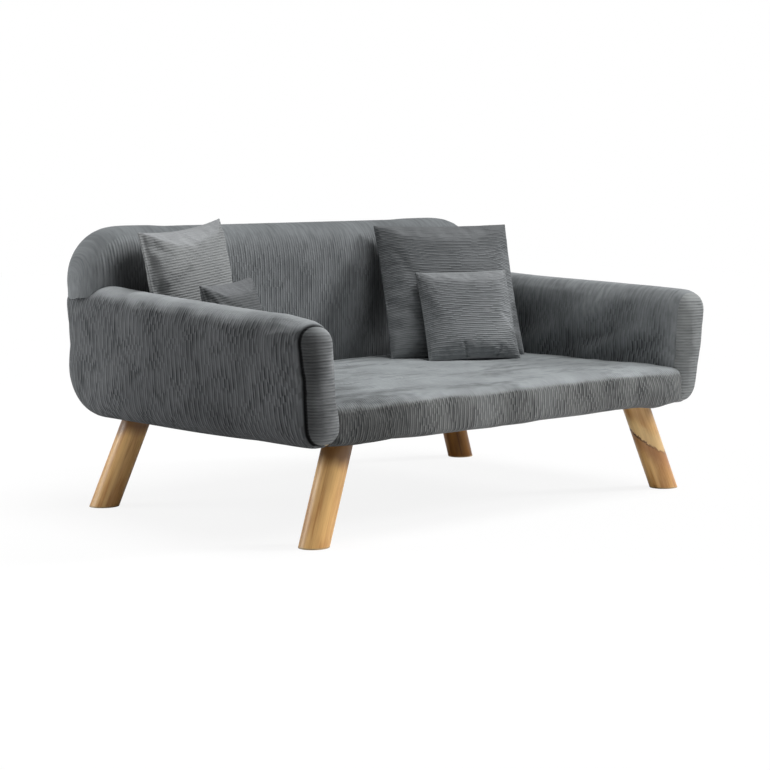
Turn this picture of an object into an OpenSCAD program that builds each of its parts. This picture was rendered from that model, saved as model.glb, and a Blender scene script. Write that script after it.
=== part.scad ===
// Sofa bed for a small dog: padded seat, back and two leaning arms on a pine frame,
// four splayed round legs and two pairs of loose square pillows.
// The floor is z = 0, the front faces -Y and the origin lies under the middle of the sofa.

/* [Seat] */
// Clear width between the arms at their rear, at the underside
seat_w = 758; // [600:1:1000]
// Depth of the whole sofa, front of the arms to rear of the back
sofa_depth = 615; // [560:1:800]
// Height of the upholstery's lower edge above the floor
under_z = 150; // [110:1:220]
// Height of the flat of the seat above the floor
seat_top_z = 212; // [205:1:290]
// How far the seat's front stands behind the front of the arms
seat_setback = 5; // [2:1:20]
// Padding in front of the front rail, with its cover
seat_front_pad = 16; // [8:1:30]
// Radius of the seat's upper edges
seat_edge_r = 13; // [6:1:16]
// Rise of the seat from its edges to its flat
seat_crown = 4; // [0:0.5:8]

/* [Back] */
// Height of the top of the back above the floor
back_top_z = 453; // [400:1:600]
// How far the back's sides stand inside the arms' outer faces
back_inset = 1; // [1:0.5:8]
// Thickness of the back's padding between its two flat faces
back_t = 100; // [88:1:120]
// Radius of the upper corners
back_corner_r = 88; // [50:1:110]
// Radius of the rim
back_rim_r = 38; // [34:1:40]
// Rise of the back's faces from the rim to the flat
back_crown = 5; // [0:0.5:8]

/* [Arms] */
// Thickness of an arm between its two flat faces
arm_t = 70; // [64:1:100]
// Lean of an arm's front away from the seat, in degrees; its rear stands upright
arm_front_lean = 7; // [0:0.5:8]
// How much nearer the middle an arm's front stands than its rear
arm_toe_in = 8; // [0:0.5:12]
// How far an arm reaches below the seat's underside
arm_drop = 3; // [0:0.5:5]
// Height of an arm above the upholstery's lower edge, at its front
arm_front_h = 186; // [150:1:205]
// The same where the arm meets the back
arm_mid_h = 211; // [206:1:260]
// The same at the rear end
arm_rear_h = 190; // [150:1:205]
// Radius of the rim of an arm
arm_rim_r = 27; // [20:1:28]
// Radius of the lower rear corner
arm_heel_r = 85; // [40:1:100]
// Radius of the upper front corner
arm_nose_r = 32; // [15:1:60]
// Rise of an arm's faces from the rim to the flat
arm_crown = 3; // [0:0.5:4]
// Share of the rim's radius that the sewn panel at the front end of an arm takes in
panel_share = 0.42; // [0.3:0.02:0.44]

/* [Cloth and clearances] */
// Thickness of the corduroy and its backing
cloth_t = 1.6; // [1:0.1:3]
// Clearance between soft pieces and what they touch
soft_gap = 0.3; // [0.2:0.05:0.6]
// Width of the seam between an arm's cover and its front panel
seam_gap = 0.3; // [0.2:0.05:0.6]

/* [Frame] */
// Height of the pine rails
rail_h = 22; // [18:1:28]
// Width of the front and rear rails
cross_rail_w = 84; // [70:1:100]
// Width of the side rails
side_rail_w = 40; // [30:1:60]
// Width of the centre rail
centre_rail_w = 40; // [30:1:60]
// Thickness of the plywood seat deck
deck_t = 9; // [6:1:12]
// Thickness of the plywood boards in the arms and the back
board_t = 12; // [9:1:15]
// Thickness of the dust cover under the frame
dust_t = 0.8; // [0.5:0.1:1.5]
// Height of the rails' underside above the upholstery's lower edge
rail_lift = 2; // [1.5:0.5:4]

/* [Legs] */
// Diameter of a leg
leg_d = 45; // [35:1:50]
// Distance of a front leg's top from the side of the seat
front_leg_inset = 41; // [25:1:80]
// Distance of a rear leg's top from the side of the seat
rear_leg_inset = 29; // [25:1:80]
// Splay of each leg across, from its top to its foot
leg_splay_x = 62; // [20:1:80]
// Splay of each leg along the depth
leg_splay_y = 15; // [0:1:40]
// Thickness of the glides under the legs
glide_t = 2; // [1:0.5:4]
// Side of a leg's mounting plate
plate_side = 56; // [50:1:60]
// Thickness of a leg's mounting plate
plate_t = 2.5; // [2:0.5:3]

/* [Pillows] */
// Side of the large pillow at the left
left_large_side = 236; // [200:1:260]
// Side of the large pillow at the right
right_large_side = 250; // [200:1:270]
// Side of the small pillow at the left
left_small_side = 166; // [140:1:180]
// Side of the small pillow at the right
right_small_side = 169; // [140:1:180]
// Thickness of a large pillow
large_pillow_t = 60; // [40:1:62]
// Thickness of a small pillow
small_pillow_t = 44; // [30:1:46]

/* [Hidden] */

// Overrun of the cuts
cut = 1;

// Colours, as the photograph shows them
corduroy = [0.36, 0.38, 0.38];
corduroy_light = [0.45, 0.47, 0.48];
foam_colour = [0.93, 0.90, 0.78];
pine = [0.86, 0.71, 0.48];
plywood = [0.80, 0.66, 0.46];
honey_wood = [0.80, 0.60, 0.34];
zinc = [0.72, 0.73, 0.75];
black_cloth = [0.09, 0.09, 0.10];

// Levels along the depth
front_y = -sofa_depth / 2;
rear_y = sofa_depth / 2;
seat_front_y = front_y + seat_setback;
back_front_y = rear_y - back_t;
frame_front_y = seat_front_y + seat_front_pad;
back_rear_pad = 38;
frame_rear_y = rear_y - back_rear_pad - board_t;

// Levels along the height
rail_z = under_z + rail_lift;
deck_z = rail_z + rail_h;
deck_top_z = deck_z + deck_t;

// The arm's own frame: along the depth, up the arm, and through it from inside to outside
arm_x = seat_w / 2 + arm_t / 2 - arm_toe_in / 2;
arm_lean = arm_front_lean / 2;
arm_twist = arm_front_lean;
front_panel_d = arm_rim_r * panel_share;
arm_knee_gap = 3;
arm_knee_y = back_front_y - arm_knee_gap;
arm_toe_r = 22;
arm_tail_r = 30;
arm_knee_r = 110;
arm_crown_run = 36;
arm_outline = [
    [front_y, -arm_drop],
    [rear_y, -arm_drop],
    [rear_y, arm_rear_h],
    [arm_knee_y, arm_mid_h],
    [front_y, arm_front_h]
];
arm_radii = [arm_toe_r, arm_heel_r, arm_tail_r, arm_knee_r, arm_nose_r];

back_w = seat_w + 2 * (arm_t - arm_crown - back_inset);

// The boards inside the arms and the back
board_edge = 26;
board_foot = 3;
board_corner_r = 30;
back_board_corner_r = 60;
back_board_wing_x = back_w / 2 - board_edge;
back_board_foot_x = seat_w / 2 - board_edge / 2;

back_crown_run = 45;
back_foot_r = 60;
seat_crown_run = 60;
seat_corner_r = 14;
seat_hem_r = 6;

// Steps that round the padded forms
corner_steps = 4;
rim_steps = 3;
crown_steps = 2;
least_r = 1.5;

// Fasteners
bolt_d = 6;
bolt_head_d = 13;
bolt_head_t = 4;
bolt_play = 0.3;
tee_flange_d = 18;
tee_flange_t = 1.5;
tee_barrel_d = 8;
arm_bolt_shares = [-0.2, 0.165];
arm_bolt_ys = sofa_depth * arm_bolt_shares;
arm_bolt_v = rail_lift + rail_h / 2;
back_bolt_shares = [-0.31, -0.155, 0.155, 0.31];
back_bolt_xs = seat_w * back_bolt_shares;
deck_screw_d = 4;
deck_screw_l = 16;
deck_screw_head_d = 8;
deck_screw_shares = [-0.39, -0.235, -0.08, 0.08, 0.235, 0.39];
deck_screw_xs = seat_w * deck_screw_shares;
hanger_d = 8;
hanger_in_leg = 28;
hanger_boss_d = 14;
hanger_boss_h = 13;
boss_play = 0.5;
plate_screw_d = 3.6;
plate_screw_l = 14;
plate_screw_head_d = 7;
plate_screw_head_t = 1.5;
plate_screw_at = 20;
dust_cut = 1;
dust_inset = 2;

// Legs: the tops lie under the front and rear rails, left to right and front to rear
front_leg_offset = 2;
rear_leg_offset = 12.5;
front_leg_x = seat_w / 2 - front_leg_inset;
rear_leg_x = seat_w / 2 - rear_leg_inset;
front_leg_y = frame_front_y + cross_rail_w / 2 + front_leg_offset;
rear_leg_y = frame_rear_y - cross_rail_w / 2 + rear_leg_offset;
leg_top_z = rail_z - plate_t;
front_left_top = [-front_leg_x, front_leg_y];
front_right_top = [front_leg_x, front_leg_y];
rear_left_top = [-rear_leg_x, rear_leg_y];
rear_right_top = [rear_leg_x, rear_leg_y];
leg_tops = [front_left_top, front_right_top, rear_left_top, rear_right_top];

// Pillows: place of the lower edge's middle, and turn, lean and roll in degrees
pillow_z = seat_top_z + soft_gap;
pillow_draw = 0.09;
pillow_seam = 9;
zip_share = 0.5;
zip_t = 2.4;
pillow_fullness = 0.42;
pillow_steps = 12;
filling_steps = 6;
left_large_turn_angle = 16;
left_large_lean_angle = 12;
left_large_roll_angle = 4;
left_large_tuck = 4;
left_large_play = 4.3;
left_large_crown_share = 0.45;
left_small_turn_angle = 20;
left_small_lean_angle = 16;
left_small_roll_angle = 3;
left_small_gap = 8;
left_small_ahead = 98;
left_small_crown_share = 0.25;
right_large_turn_angle = -24;
right_large_lean_angle = 22;
right_large_roll_angle = 0;
right_large_gap = 46;
right_large_play = 19.6;
right_small_turn_angle = -25;
right_small_lean_angle = 24;
right_small_roll_angle = 0;
right_small_shift = 20;
right_small_ahead = 60;

// How far a pillow's lower edge stands in front of the back that its top leans towards
function stand_off(side, turn, lean, play) = side * (sin(lean) * cos(turn) + abs(sin(turn)) / 2) + play;

left_large_at = [
    -(seat_w - left_large_side) / 2 - left_large_tuck,
    back_front_y
        - stand_off(left_large_side, left_large_turn_angle, left_large_lean_angle, left_large_play)
];
left_small_at = [
    -(seat_w - left_small_side) / 2 + left_small_gap,
    left_large_at[1] - left_small_ahead
];
right_large_at = [
    (seat_w - right_large_side) / 2 - right_large_gap,
    back_front_y
        - stand_off(right_large_side, right_large_turn_angle, right_large_lean_angle, right_large_play)
];
right_small_at = [
    right_large_at[0] - right_small_shift,
    right_large_at[1] - right_small_ahead
];
left_large_pose = [
    left_large_at, left_large_turn_angle, left_large_lean_angle, left_large_roll_angle,
    left_large_crown_share
];
left_small_pose = [
    left_small_at, left_small_turn_angle, left_small_lean_angle, left_small_roll_angle,
    left_small_crown_share
];
right_large_pose = [
    right_large_at, right_large_turn_angle, right_large_lean_angle, right_large_roll_angle, 0
];
right_small_pose = [
    right_small_at, right_small_turn_angle, right_small_lean_angle, right_small_roll_angle, 0
];

// Corner geometry of a convex outline, listed counter-clockwise
function unit(v) = v / norm(v);
function before(points, i) = points[(i + len(points) - 1) % len(points)] - points[i];
function after(points, i) = points[(i + 1) % len(points)] - points[i];
function half_angle(points, i) = acos(unit(before(points, i)) * unit(after(points, i))) / 2;
function bisector(points, i) = unit(unit(before(points, i)) + unit(after(points, i)));
function first_normal(points, i) = atan2(before(points, i)[0], -before(points, i)[1]);

// The outline drawn in by an inset, its corners rounded about the same centres
function ring(points, radii, inset) = [
    for (i = [0 : len(points) - 1])
        let (
            r = max(radii[i] - inset, least_r),
            centre = points[i] + bisector(points, i) * (r + inset) / sin(half_angle(points, i)),
            sweep = 180 - 2 * half_angle(points, i),
            start = first_normal(points, i)
        )
        for (k = [0 : corner_steps])
            centre + r * [cos(start + sweep * k / corner_steps), sin(start + sweep * k / corner_steps)]
];

// One face of a padded form, from its widest line to its flat: insets and heights
function face_profile(half, rim, crown, run, shrink) = concat(
    [
        for (k = [0 : rim_steps])
            let (angle = 90 * k / rim_steps, r = rim - shrink)
            [shrink + r * (1 - cos(angle)), half - shrink - r * (1 - sin(angle))]
    ],
    crown == 0 ? [] : [
        for (k = [1 : crown_steps])
            let (share = k / crown_steps)
            [rim + run * share, half - shrink + crown * sin(90 * share)]
    ]
);
function flipped(profile) = [for (k = [len(profile) - 1 : -1 : 0]) [profile[k][0], -profile[k][1]]];

// Sideways shift of an arm's padding at a point of its outline, from its middle's depth
function twist_shift(p, twist, toe) = (p[1] * tan(twist) - toe) * ((rear_y - p[0]) / sofa_depth - 1 / 2);

// A closed padded form: the rings of an outline stacked along a profile, each end closed
// by a fan about its middle
function middle(points) = [for (p = points) 1 / len(points)] * points;

module padded_form(points, radii, profile, twist = 0, toe = 0) {
    rings = [
        for (step = profile)
            [for (p = ring(points, radii, step[0])) [p[0], p[1], step[1] + twist_shift(p, twist, toe)]]
    ];
    n = len(rings[0]);
    last = len(rings) - 1;
    first_hub = (last + 1) * n;
    polyhedron(
        points = concat([for (one = rings) each one], [middle(rings[0]), middle(rings[last])]),
        faces = concat(
            [for (i = [0 : n - 1]) [first_hub, i, (i + 1) % n]],
            [
                for (k = [0 : last - 1], i = [0 : n - 1])
                    let (a = k * n + i, b = k * n + (i + 1) % n)
                    each [[a, a + n, b + n], [a, b + n, b]]
            ],
            [for (i = [0 : n - 1]) [first_hub + 1, last * n + (i + 1) % n, last * n + i]]
        ),
        convexity = 4
    );
}

// Turns a form drawn in its own plane to stand along the depth
module in_arm(side) {
    mirror([side < 0 ? 1 : 0, 0, 0])
        translate([arm_x, 0, under_z])
            rotate([0, arm_lean, 0])
                rotate([90, 0, 90])
                    children();
}

// Place across of a plane in the arm's frame, at a height above the floor
function arm_plane_x(through, z) = arm_x + through / cos(arm_lean) + (z - under_z) * tan(arm_lean);
function frame_half(z) = arm_plane_x(-board_t / 2, z);

// The space of the frame under the padding, grown by a clearance
module frame_space(gap) {
    low = under_z - 2 * leg_d;
    high = deck_top_z + gap;
    translate([0, frame_rear_y + gap, 0])
        rotate([90, 0, 0])
            linear_extrude(frame_rear_y - frame_front_y + 2 * gap)
                polygon([
                    [-frame_half(low) - gap, low],
                    [frame_half(low) + gap, low],
                    [frame_half(high) + gap, high],
                    [-frame_half(high) - gap, high]
                ]);
}

// Outer form of an arm, drawn in by a shrink
module arm_form(shrink) {
    face = face_profile(arm_t / 2 - arm_crown, arm_rim_r, arm_crown, arm_crown_run, shrink);
    padded_form(arm_outline, arm_radii, concat(flipped(face), face), arm_twist, arm_toe_in);
}

// Outer form of the back, with the arms' places left out
module back_form(shrink) {
    half_w = back_w / 2;
    face = face_profile(back_t / 2 - back_crown, back_rim_r, back_crown, back_crown_run, shrink);
    difference() {
        translate([0, (back_front_y + rear_y) / 2, 0])
            rotate([90, 0, 0])
                padded_form(
                    [[-half_w, under_z], [half_w, under_z], [half_w, back_top_z], [-half_w, back_top_z]],
                    [back_foot_r, back_foot_r, back_corner_r, back_corner_r],
                    concat(flipped(face), face)
                );
        for (side = [-1, 1])
            in_arm(side) arm_form(-soft_gap - shrink);
    }
}

// Outer form of the seat, pressed against the arms
module seat_form(shrink) {
    half_w = arm_x;
    height = seat_top_z - seat_crown - under_z;
    face = face_profile(height, seat_edge_r, seat_crown, seat_crown_run, shrink);
    foot = [[seat_hem_r + shrink, shrink], [shrink, seat_hem_r + shrink]];
    seat_rear_y = back_front_y - soft_gap;
    difference() {
        translate([0, 0, under_z])
            padded_form(
                [
                    [-half_w, seat_front_y], [half_w, seat_front_y],
                    [half_w, seat_rear_y], [-half_w, seat_rear_y]
                ],
                [seat_corner_r, seat_corner_r, seat_corner_r, seat_corner_r],
                concat(foot, face)
            );
        for (side = [-1, 1])
            in_arm(side) arm_form(-soft_gap - shrink);
    }
}

// Frame
module rail_bar(from_y, to_y) {
    translate([0, to_y, 0])
        rotate([90, 0, 0])
            linear_extrude(to_y - from_y)
                polygon([
                    [-frame_half(rail_z), rail_z],
                    [frame_half(rail_z), rail_z],
                    [frame_half(deck_z), deck_z],
                    [-frame_half(deck_z), deck_z]
                ]);
}

module deck_screw_holes() {
    for (x = deck_screw_xs, y = [frame_front_y, frame_rear_y - cross_rail_w])
        translate([x, y + cross_rail_w / 2, deck_top_z - deck_screw_l])
            cylinder(d = deck_screw_d, h = deck_screw_l + cut, $fn = 24);
}

module leg_holes() {
    for (top = leg_tops) {
        translate([top[0], top[1], rail_z - cut])
            cylinder(d = hanger_boss_d + boss_play, h = hanger_boss_h + cut + boss_play, $fn = 32);
        for (dx = [-1, 1], dy = [-1, 1])
            translate([top[0] + dx * plate_screw_at, top[1] + dy * plate_screw_at, rail_z - cut])
                cylinder(d = plate_screw_d, h = plate_screw_l - plate_t + cut, $fn = 24);
    }
}

module front_rail() {
    color(pine)
        difference() {
            rail_bar(frame_front_y, frame_front_y + cross_rail_w);
            deck_screw_holes();
            leg_holes();
        }
}

module rear_rail() {
    color(pine)
        difference() {
            rail_bar(frame_rear_y - cross_rail_w, frame_rear_y);
            deck_screw_holes();
            leg_holes();
            for (x = back_bolt_xs)
                translate([x, frame_rear_y + cut, rail_z + rail_h / 2])
                    rotate([90, 0, 0])
                        cylinder(d = bolt_d + bolt_play, h = cross_rail_w + 2 * cut, $fn = 32);
        }
}

module side_rail(side) {
    from_y = frame_front_y + cross_rail_w;
    to_y = frame_rear_y - cross_rail_w;
    color(pine)
        difference() {
            mirror([side < 0 ? 1 : 0, 0, 0])
                translate([0, to_y, 0])
                    rotate([90, 0, 0])
                        linear_extrude(to_y - from_y)
                            polygon([
                                [frame_half(rail_z) - side_rail_w, rail_z],
                                [frame_half(rail_z), rail_z],
                                [frame_half(deck_z), deck_z],
                                [frame_half(deck_z) - side_rail_w, deck_z]
                            ]);
            for (y = arm_bolt_ys)
                in_arm(side)
                    translate([y, arm_bolt_v, -board_t / 2 - 2 * side_rail_w])
                        cylinder(d = bolt_d + bolt_play, h = 2 * side_rail_w + cut, $fn = 32);
        }
}

module centre_rail() {
    from_y = frame_front_y + cross_rail_w;
    to_y = frame_rear_y - cross_rail_w;
    color(pine)
        translate([-centre_rail_w / 2, from_y, rail_z])
            cube([centre_rail_w, to_y - from_y, rail_h]);
}

module seat_deck() {
    color(plywood)
        difference() {
            translate([0, frame_rear_y, 0])
                rotate([90, 0, 0])
                    linear_extrude(frame_rear_y - frame_front_y)
                        polygon([
                            [-frame_half(deck_z), deck_z],
                            [frame_half(deck_z), deck_z],
                            [frame_half(deck_top_z), deck_top_z],
                            [-frame_half(deck_top_z), deck_top_z]
                        ]);
            deck_screw_holes();
            deck_screw_heads(cut);
        }
}

// Countersunk heads, raised past the deck by an overrun where they cut it
module deck_screw_heads(over) {
    head_h = (deck_screw_head_d - deck_screw_d) / 2;
    for (x = deck_screw_xs, y = [frame_front_y, frame_rear_y - cross_rail_w])
        translate([x, y + cross_rail_w / 2, deck_top_z - head_h])
            rotate_extrude($fn = 32)
                polygon([
                    [0, 0],
                    [deck_screw_d / 2, 0],
                    [deck_screw_head_d / 2, head_h],
                    [deck_screw_head_d / 2, head_h + over],
                    [0, head_h + over]
                ]);
}

module deck_screws() {
    head_h = (deck_screw_head_d - deck_screw_d) / 2;
    color(zinc)
        for (x = deck_screw_xs, y = [frame_front_y, frame_rear_y - cross_rail_w])
            translate([x, y + cross_rail_w / 2, deck_top_z - deck_screw_l])
                rotate_extrude($fn = 32)
                    polygon([
                        [0, 0],
                        [deck_screw_d / 2, 0],
                        [deck_screw_d / 2, deck_screw_l - head_h],
                        [deck_screw_head_d / 2, deck_screw_l],
                        [0, deck_screw_l]
                    ]);
}

module dust_cover() {
    half_w = frame_half(rail_z) - dust_inset;
    length = frame_rear_y - frame_front_y - 2 * dust_inset;
    window = plate_side + 2 * dust_cut;
    color(black_cloth)
        difference() {
            translate([-half_w, frame_front_y + dust_inset, rail_z - dust_t])
                cube([2 * half_w, length, dust_t]);
            for (top = leg_tops)
                translate([top[0] - window / 2, top[1] - window / 2, rail_z - dust_t - cut])
                    cube([window, window, dust_t + 2 * cut]);
        }
}

// Boards
module arm_board_blank(gap) {
    points = [
        [front_y + board_edge, board_foot],
        [rear_y - board_edge, board_foot],
        [rear_y - board_edge, arm_rear_h - board_edge],
        [arm_knee_y, arm_mid_h - board_edge],
        [front_y + board_edge, arm_front_h - board_edge]
    ];
    radii = [least_r, arm_heel_r - board_edge, board_corner_r, arm_knee_r, board_corner_r];
    translate([0, 0, -board_t / 2 - gap])
        linear_extrude(board_t + 2 * gap)
            polygon(ring(points, radii, -gap));
}

module tee_nut_space() {
    translate([0, 0, -board_t - cut])
        cylinder(d = tee_barrel_d, h = board_t + 2 * cut, $fn = 32);
    translate([0, 0, -tee_flange_t])
        cylinder(d = tee_flange_d, h = tee_flange_t + cut, $fn = 40);
}

module tee_nut() {
    difference() {
        union() {
            translate([0, 0, -board_t])
                cylinder(d = tee_barrel_d, h = board_t, $fn = 32);
            translate([0, 0, -tee_flange_t])
                cylinder(d = tee_flange_d, h = tee_flange_t, $fn = 40);
        }
        translate([0, 0, -board_t - cut])
            cylinder(d = bolt_d, h = board_t + 2 * cut, $fn = 32);
    }
}

// A bolt whose end is at its origin, with its head at the far end of a stack
module bolt(stack) {
    translate([0, 0, -stack])
        cylinder(d = bolt_d, h = stack, $fn = 32);
    translate([0, 0, -stack - bolt_head_t])
        cylinder(d = bolt_head_d, h = bolt_head_t, $fn = 40);
}

module arm_board(side) {
    color(plywood)
        in_arm(side)
            difference() {
                arm_board_blank(0);
                for (y = arm_bolt_ys)
                    translate([y, arm_bolt_v, board_t / 2]) tee_nut_space();
            }
}

module arm_tee_nuts() {
    color(zinc)
        for (side = [-1, 1], y = arm_bolt_ys)
            in_arm(side)
                translate([y, arm_bolt_v, board_t / 2]) tee_nut();
}

module arm_bolts() {
    color(zinc)
        for (side = [-1, 1], y = arm_bolt_ys)
            in_arm(side)
                translate([y, arm_bolt_v, board_t / 2])
                    bolt(board_t + side_rail_w * cos(arm_lean));
}

module back_board_blank(gap) {
    low_z = under_z + board_foot;
    top_z = back_top_z - board_edge;
    notch_h = arm_mid_h + board_edge / 2 - board_foot - 2 * gap;
    outline = [
        [-back_board_wing_x, low_z], [back_board_wing_x, low_z],
        [back_board_wing_x, top_z], [-back_board_wing_x, top_z]
    ];
    radii = [least_r, least_r, back_board_corner_r, back_board_corner_r];
    difference() {
        translate([0, frame_rear_y + board_t + gap, 0])
            rotate([90, 0, 0])
                linear_extrude(board_t + 2 * gap) polygon(ring(outline, radii, -gap));
        for (side = [0, 1])
            mirror([side, 0, 0])
                translate([back_board_foot_x + gap, frame_rear_y - gap - cut, low_z - gap - cut])
                    cube([board_edge + back_board_wing_x, board_t + 2 * gap + 2 * cut, notch_h + cut]);
    }
}

module at_back_bolts() {
    for (x = back_bolt_xs)
        translate([x, frame_rear_y + board_t, rail_z + rail_h / 2])
            rotate([-90, 0, 0])
                children();
}

module back_board() {
    color(plywood)
        difference() {
            back_board_blank(0);
            at_back_bolts() tee_nut_space();
        }
}

module back_tee_nuts() {
    color(zinc) at_back_bolts() tee_nut();
}

module back_bolts() {
    color(zinc) at_back_bolts() bolt(board_t + cross_rail_w);
}

// Padding and covers
module seat_foam() {
    color(foam_colour)
        difference() {
            seat_form(cloth_t + soft_gap);
            frame_space(soft_gap);
        }
}

module seat_cover() {
    color(corduroy_light)
        difference() {
            seat_form(0);
            seat_form(cloth_t);
            frame_space(soft_gap);
        }
}

module arm_foam(side) {
    color(foam_colour)
        difference() {
            in_arm(side)
                difference() {
                    arm_form(cloth_t + soft_gap);
                    arm_board_blank(soft_gap);
                }
            frame_space(soft_gap);
        }
}

// The closed skin of an arm, which a seam divides into the cover and the front panel
module arm_skin(side) {
    difference() {
        in_arm(side)
            difference() {
                arm_form(0);
                arm_form(cloth_t);
            }
        frame_space(soft_gap);
    }
}

module panel_side(side) {
    half = arm_x + 2 * arm_t;
    translate([side < 0 ? -half : 0, front_y - arm_t, 0])
        cube([half, arm_t + front_panel_d, back_top_z]);
}

module arm_cover(side) {
    color(corduroy)
        difference() {
            arm_skin(side);
            translate([0, seam_gap, 0]) panel_side(side);
        }
}

module front_panel(side) {
    color(corduroy)
        intersection() {
            arm_skin(side);
            panel_side(side);
        }
}

module back_foam() {
    color(foam_colour)
        difference() {
            back_form(cloth_t + soft_gap);
            back_board_blank(soft_gap);
            frame_space(soft_gap);
        }
}

module back_cover() {
    color(corduroy)
        difference() {
            back_form(0);
            back_form(cloth_t);
            frame_space(soft_gap);
        }
}

// Legs
module leg_plates() {
    color(zinc)
        for (top = leg_tops)
            translate([top[0], top[1], leg_top_z])
                difference() {
                    union() {
                        translate([-plate_side / 2, -plate_side / 2, 0])
                            cube([plate_side, plate_side, plate_t]);
                        cylinder(d = hanger_boss_d, h = plate_t + hanger_boss_h, $fn = 32);
                    }
                    translate([0, 0, -cut])
                        cylinder(d = hanger_d, h = plate_t + hanger_boss_h + 2 * cut, $fn = 32);
                    for (dx = [-1, 1], dy = [-1, 1])
                        translate([dx * plate_screw_at, dy * plate_screw_at, 0]) {
                            translate([0, 0, -cut])
                                cylinder(d = plate_screw_d, h = plate_t + 2 * cut, $fn = 24);
                            translate([0, 0, -cut])
                                cylinder(d = plate_screw_head_d, h = plate_screw_head_t + cut, $fn = 32);
                        }
                }
}

module plate_screws() {
    color(zinc)
        for (top = leg_tops, dx = [-1, 1], dy = [-1, 1])
            translate([top[0] + dx * plate_screw_at, top[1] + dy * plate_screw_at, leg_top_z]) {
                cylinder(d = plate_screw_d, h = plate_screw_l, $fn = 24);
                cylinder(d = plate_screw_head_d, h = plate_screw_head_t, $fn = 32);
            }
}

module hanger_bolts() {
    color(zinc)
        for (top = leg_tops)
            translate([top[0], top[1], leg_top_z - hanger_in_leg])
                cylinder(d = hanger_d, h = hanger_in_leg + plate_t + hanger_boss_h, $fn = 32);
}

// A round bar along a leg's axis, past both ends
module leg_bar(top) {
    dx = sign(top[0]) * leg_splay_x;
    dy = sign(top[1]) * leg_splay_y;
    reach = norm([dx, dy]);
    length = norm([reach, leg_top_z]);
    translate([top[0], top[1], leg_top_z])
        rotate([0, 0, atan2(dy, dx)])
            rotate([0, 180 - atan2(reach, leg_top_z), 0])
                translate([0, 0, -leg_d])
                    cylinder(d = leg_d, h = length + 2 * leg_d, $fn = 64);
}

module leg_slice(low, high) {
    half = rear_leg_x + leg_splay_x + 2 * leg_d;
    translate([-half, -sofa_depth, low])
        cube([2 * half, 2 * sofa_depth, high - low]);
}

module leg(top) {
    color(honey_wood)
        difference() {
            intersection() {
                leg_bar(top);
                leg_slice(glide_t, leg_top_z);
            }
            translate([top[0], top[1], leg_top_z - hanger_in_leg])
                cylinder(d = hanger_d, h = hanger_in_leg + cut, $fn = 32);
        }
}

module leg_glides() {
    color(black_cloth)
        for (top = leg_tops)
            intersection() {
                leg_bar(top);
                leg_slice(0, glide_t);
            }
}

// A pillow's point at shares s and t of its half width and height, from -1 to 1
function pillow_point(side, thick, hem, s, t) = [
    side / 2 * s * (1 - pillow_draw * s * s * (1 - t * t)),
    side / 2 * t * (1 - pillow_draw * t * t * (1 - s * s)),
    hem / 2 + (thick - hem) / 2 * pow(max((1 - s * s) * (1 - t * t), 0), pillow_fullness)
];
function grid_share(i, steps) = i == 0 ? -1 : i == steps ? 1 : sin(90 * (2 * i / steps - 1));

// A square pillow: crowned faces, drawn-in edges of a hem's thickness and pointed corners
module pillow_form(side, thick, hem, steps) {
    row = steps + 1;
    front = [
        for (i = [0 : steps], j = [0 : steps])
            pillow_point(side, thick, hem, grid_share(i, steps), grid_share(j, steps))
    ];
    rear = [for (p = front) [p[0], p[1], -p[2]]];
    layer = row * row;
    faces_front = [
        for (i = [0 : steps - 1], j = [0 : steps - 1])
            let (a = i * row + j, b = a + row)
            each [[a, b + 1, b], [a, a + 1, b + 1]]
    ];
    faces_rear = [for (f = faces_front) [f[2] + layer, f[1] + layer, f[0] + layer]];
    border = concat(
        [for (i = [0 : steps - 1]) i * row],
        [for (j = [0 : steps - 1]) steps * row + j],
        [for (i = [steps : -1 : 1]) i * row + steps],
        [for (j = [steps : -1 : 1]) j]
    );
    faces_hem = [
        for (k = [0 : len(border) - 1])
            let (a = border[k], b = border[(k + 1) % len(border)])
            each [[a, b, b + layer], [a, b + layer, a + layer]]
    ];
    polyhedron(
        points = concat(front, rear),
        faces = concat(faces_front, faces_rear, faces_hem),
        convexity = 4
    );
}

// Stands a pillow on its lower edge, or on one corner where it is rolled.
// A pose is the place of the lower edge's middle, then turn, lean, roll and the share of the
// seat's crown by which the pillow stands lower, near an arm.
module pillow_place(pose, side) {
    rise = side / 2 * sin(pose[3]) + cloth_t * sin(pose[2]) - seat_crown * pose[4];
    translate([pose[0][0], pose[0][1], pillow_z + rise])
        rotate([0, 0, pose[1]])
            rotate([90 - pose[2], 0, 0])
                rotate([0, 0, pose[3]])
                    translate([0, side / 2, 0])
                        children();
}

// The zip in the lower seam, from the edge's inmost line to the hollow
module zip_bar(side, gap, over) {
    low = -side / 2 * (1 - pillow_draw) + gap - over * pillow_seam;
    high = -(side / 2 - pillow_seam) * (1 - pillow_draw) + over * zip_t / 2;
    width = side * zip_share - 2 * gap;
    translate([-width / 2, low, -zip_t / 2 + gap])
        cube([width, high - low, zip_t - 2 * gap]);
}

module pillow_cover(pose, side, thick) {
    color(corduroy_light)
        pillow_place(pose, side)
            difference() {
                pillow_form(side, thick, 2 * cloth_t, pillow_steps);
                pillow_form(side - 2 * pillow_seam, thick - 2 * cloth_t, zip_t / 2, filling_steps);
                zip_bar(side, 0, 1);
            }
}

module pillow_filling(pose, side, thick) {
    inset = pillow_seam + 2 * zip_t + soft_gap;
    color(foam_colour)
        pillow_place(pose, side)
            pillow_form(
                side - 2 * inset,
                thick - 2 * cloth_t - 2 * soft_gap,
                zip_t / 2 - soft_gap,
                filling_steps
            );
}

module pillow_zip(pose, side) {
    color(black_cloth)
        pillow_place(pose, side) zip_bar(side, soft_gap, 0);
}

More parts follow.
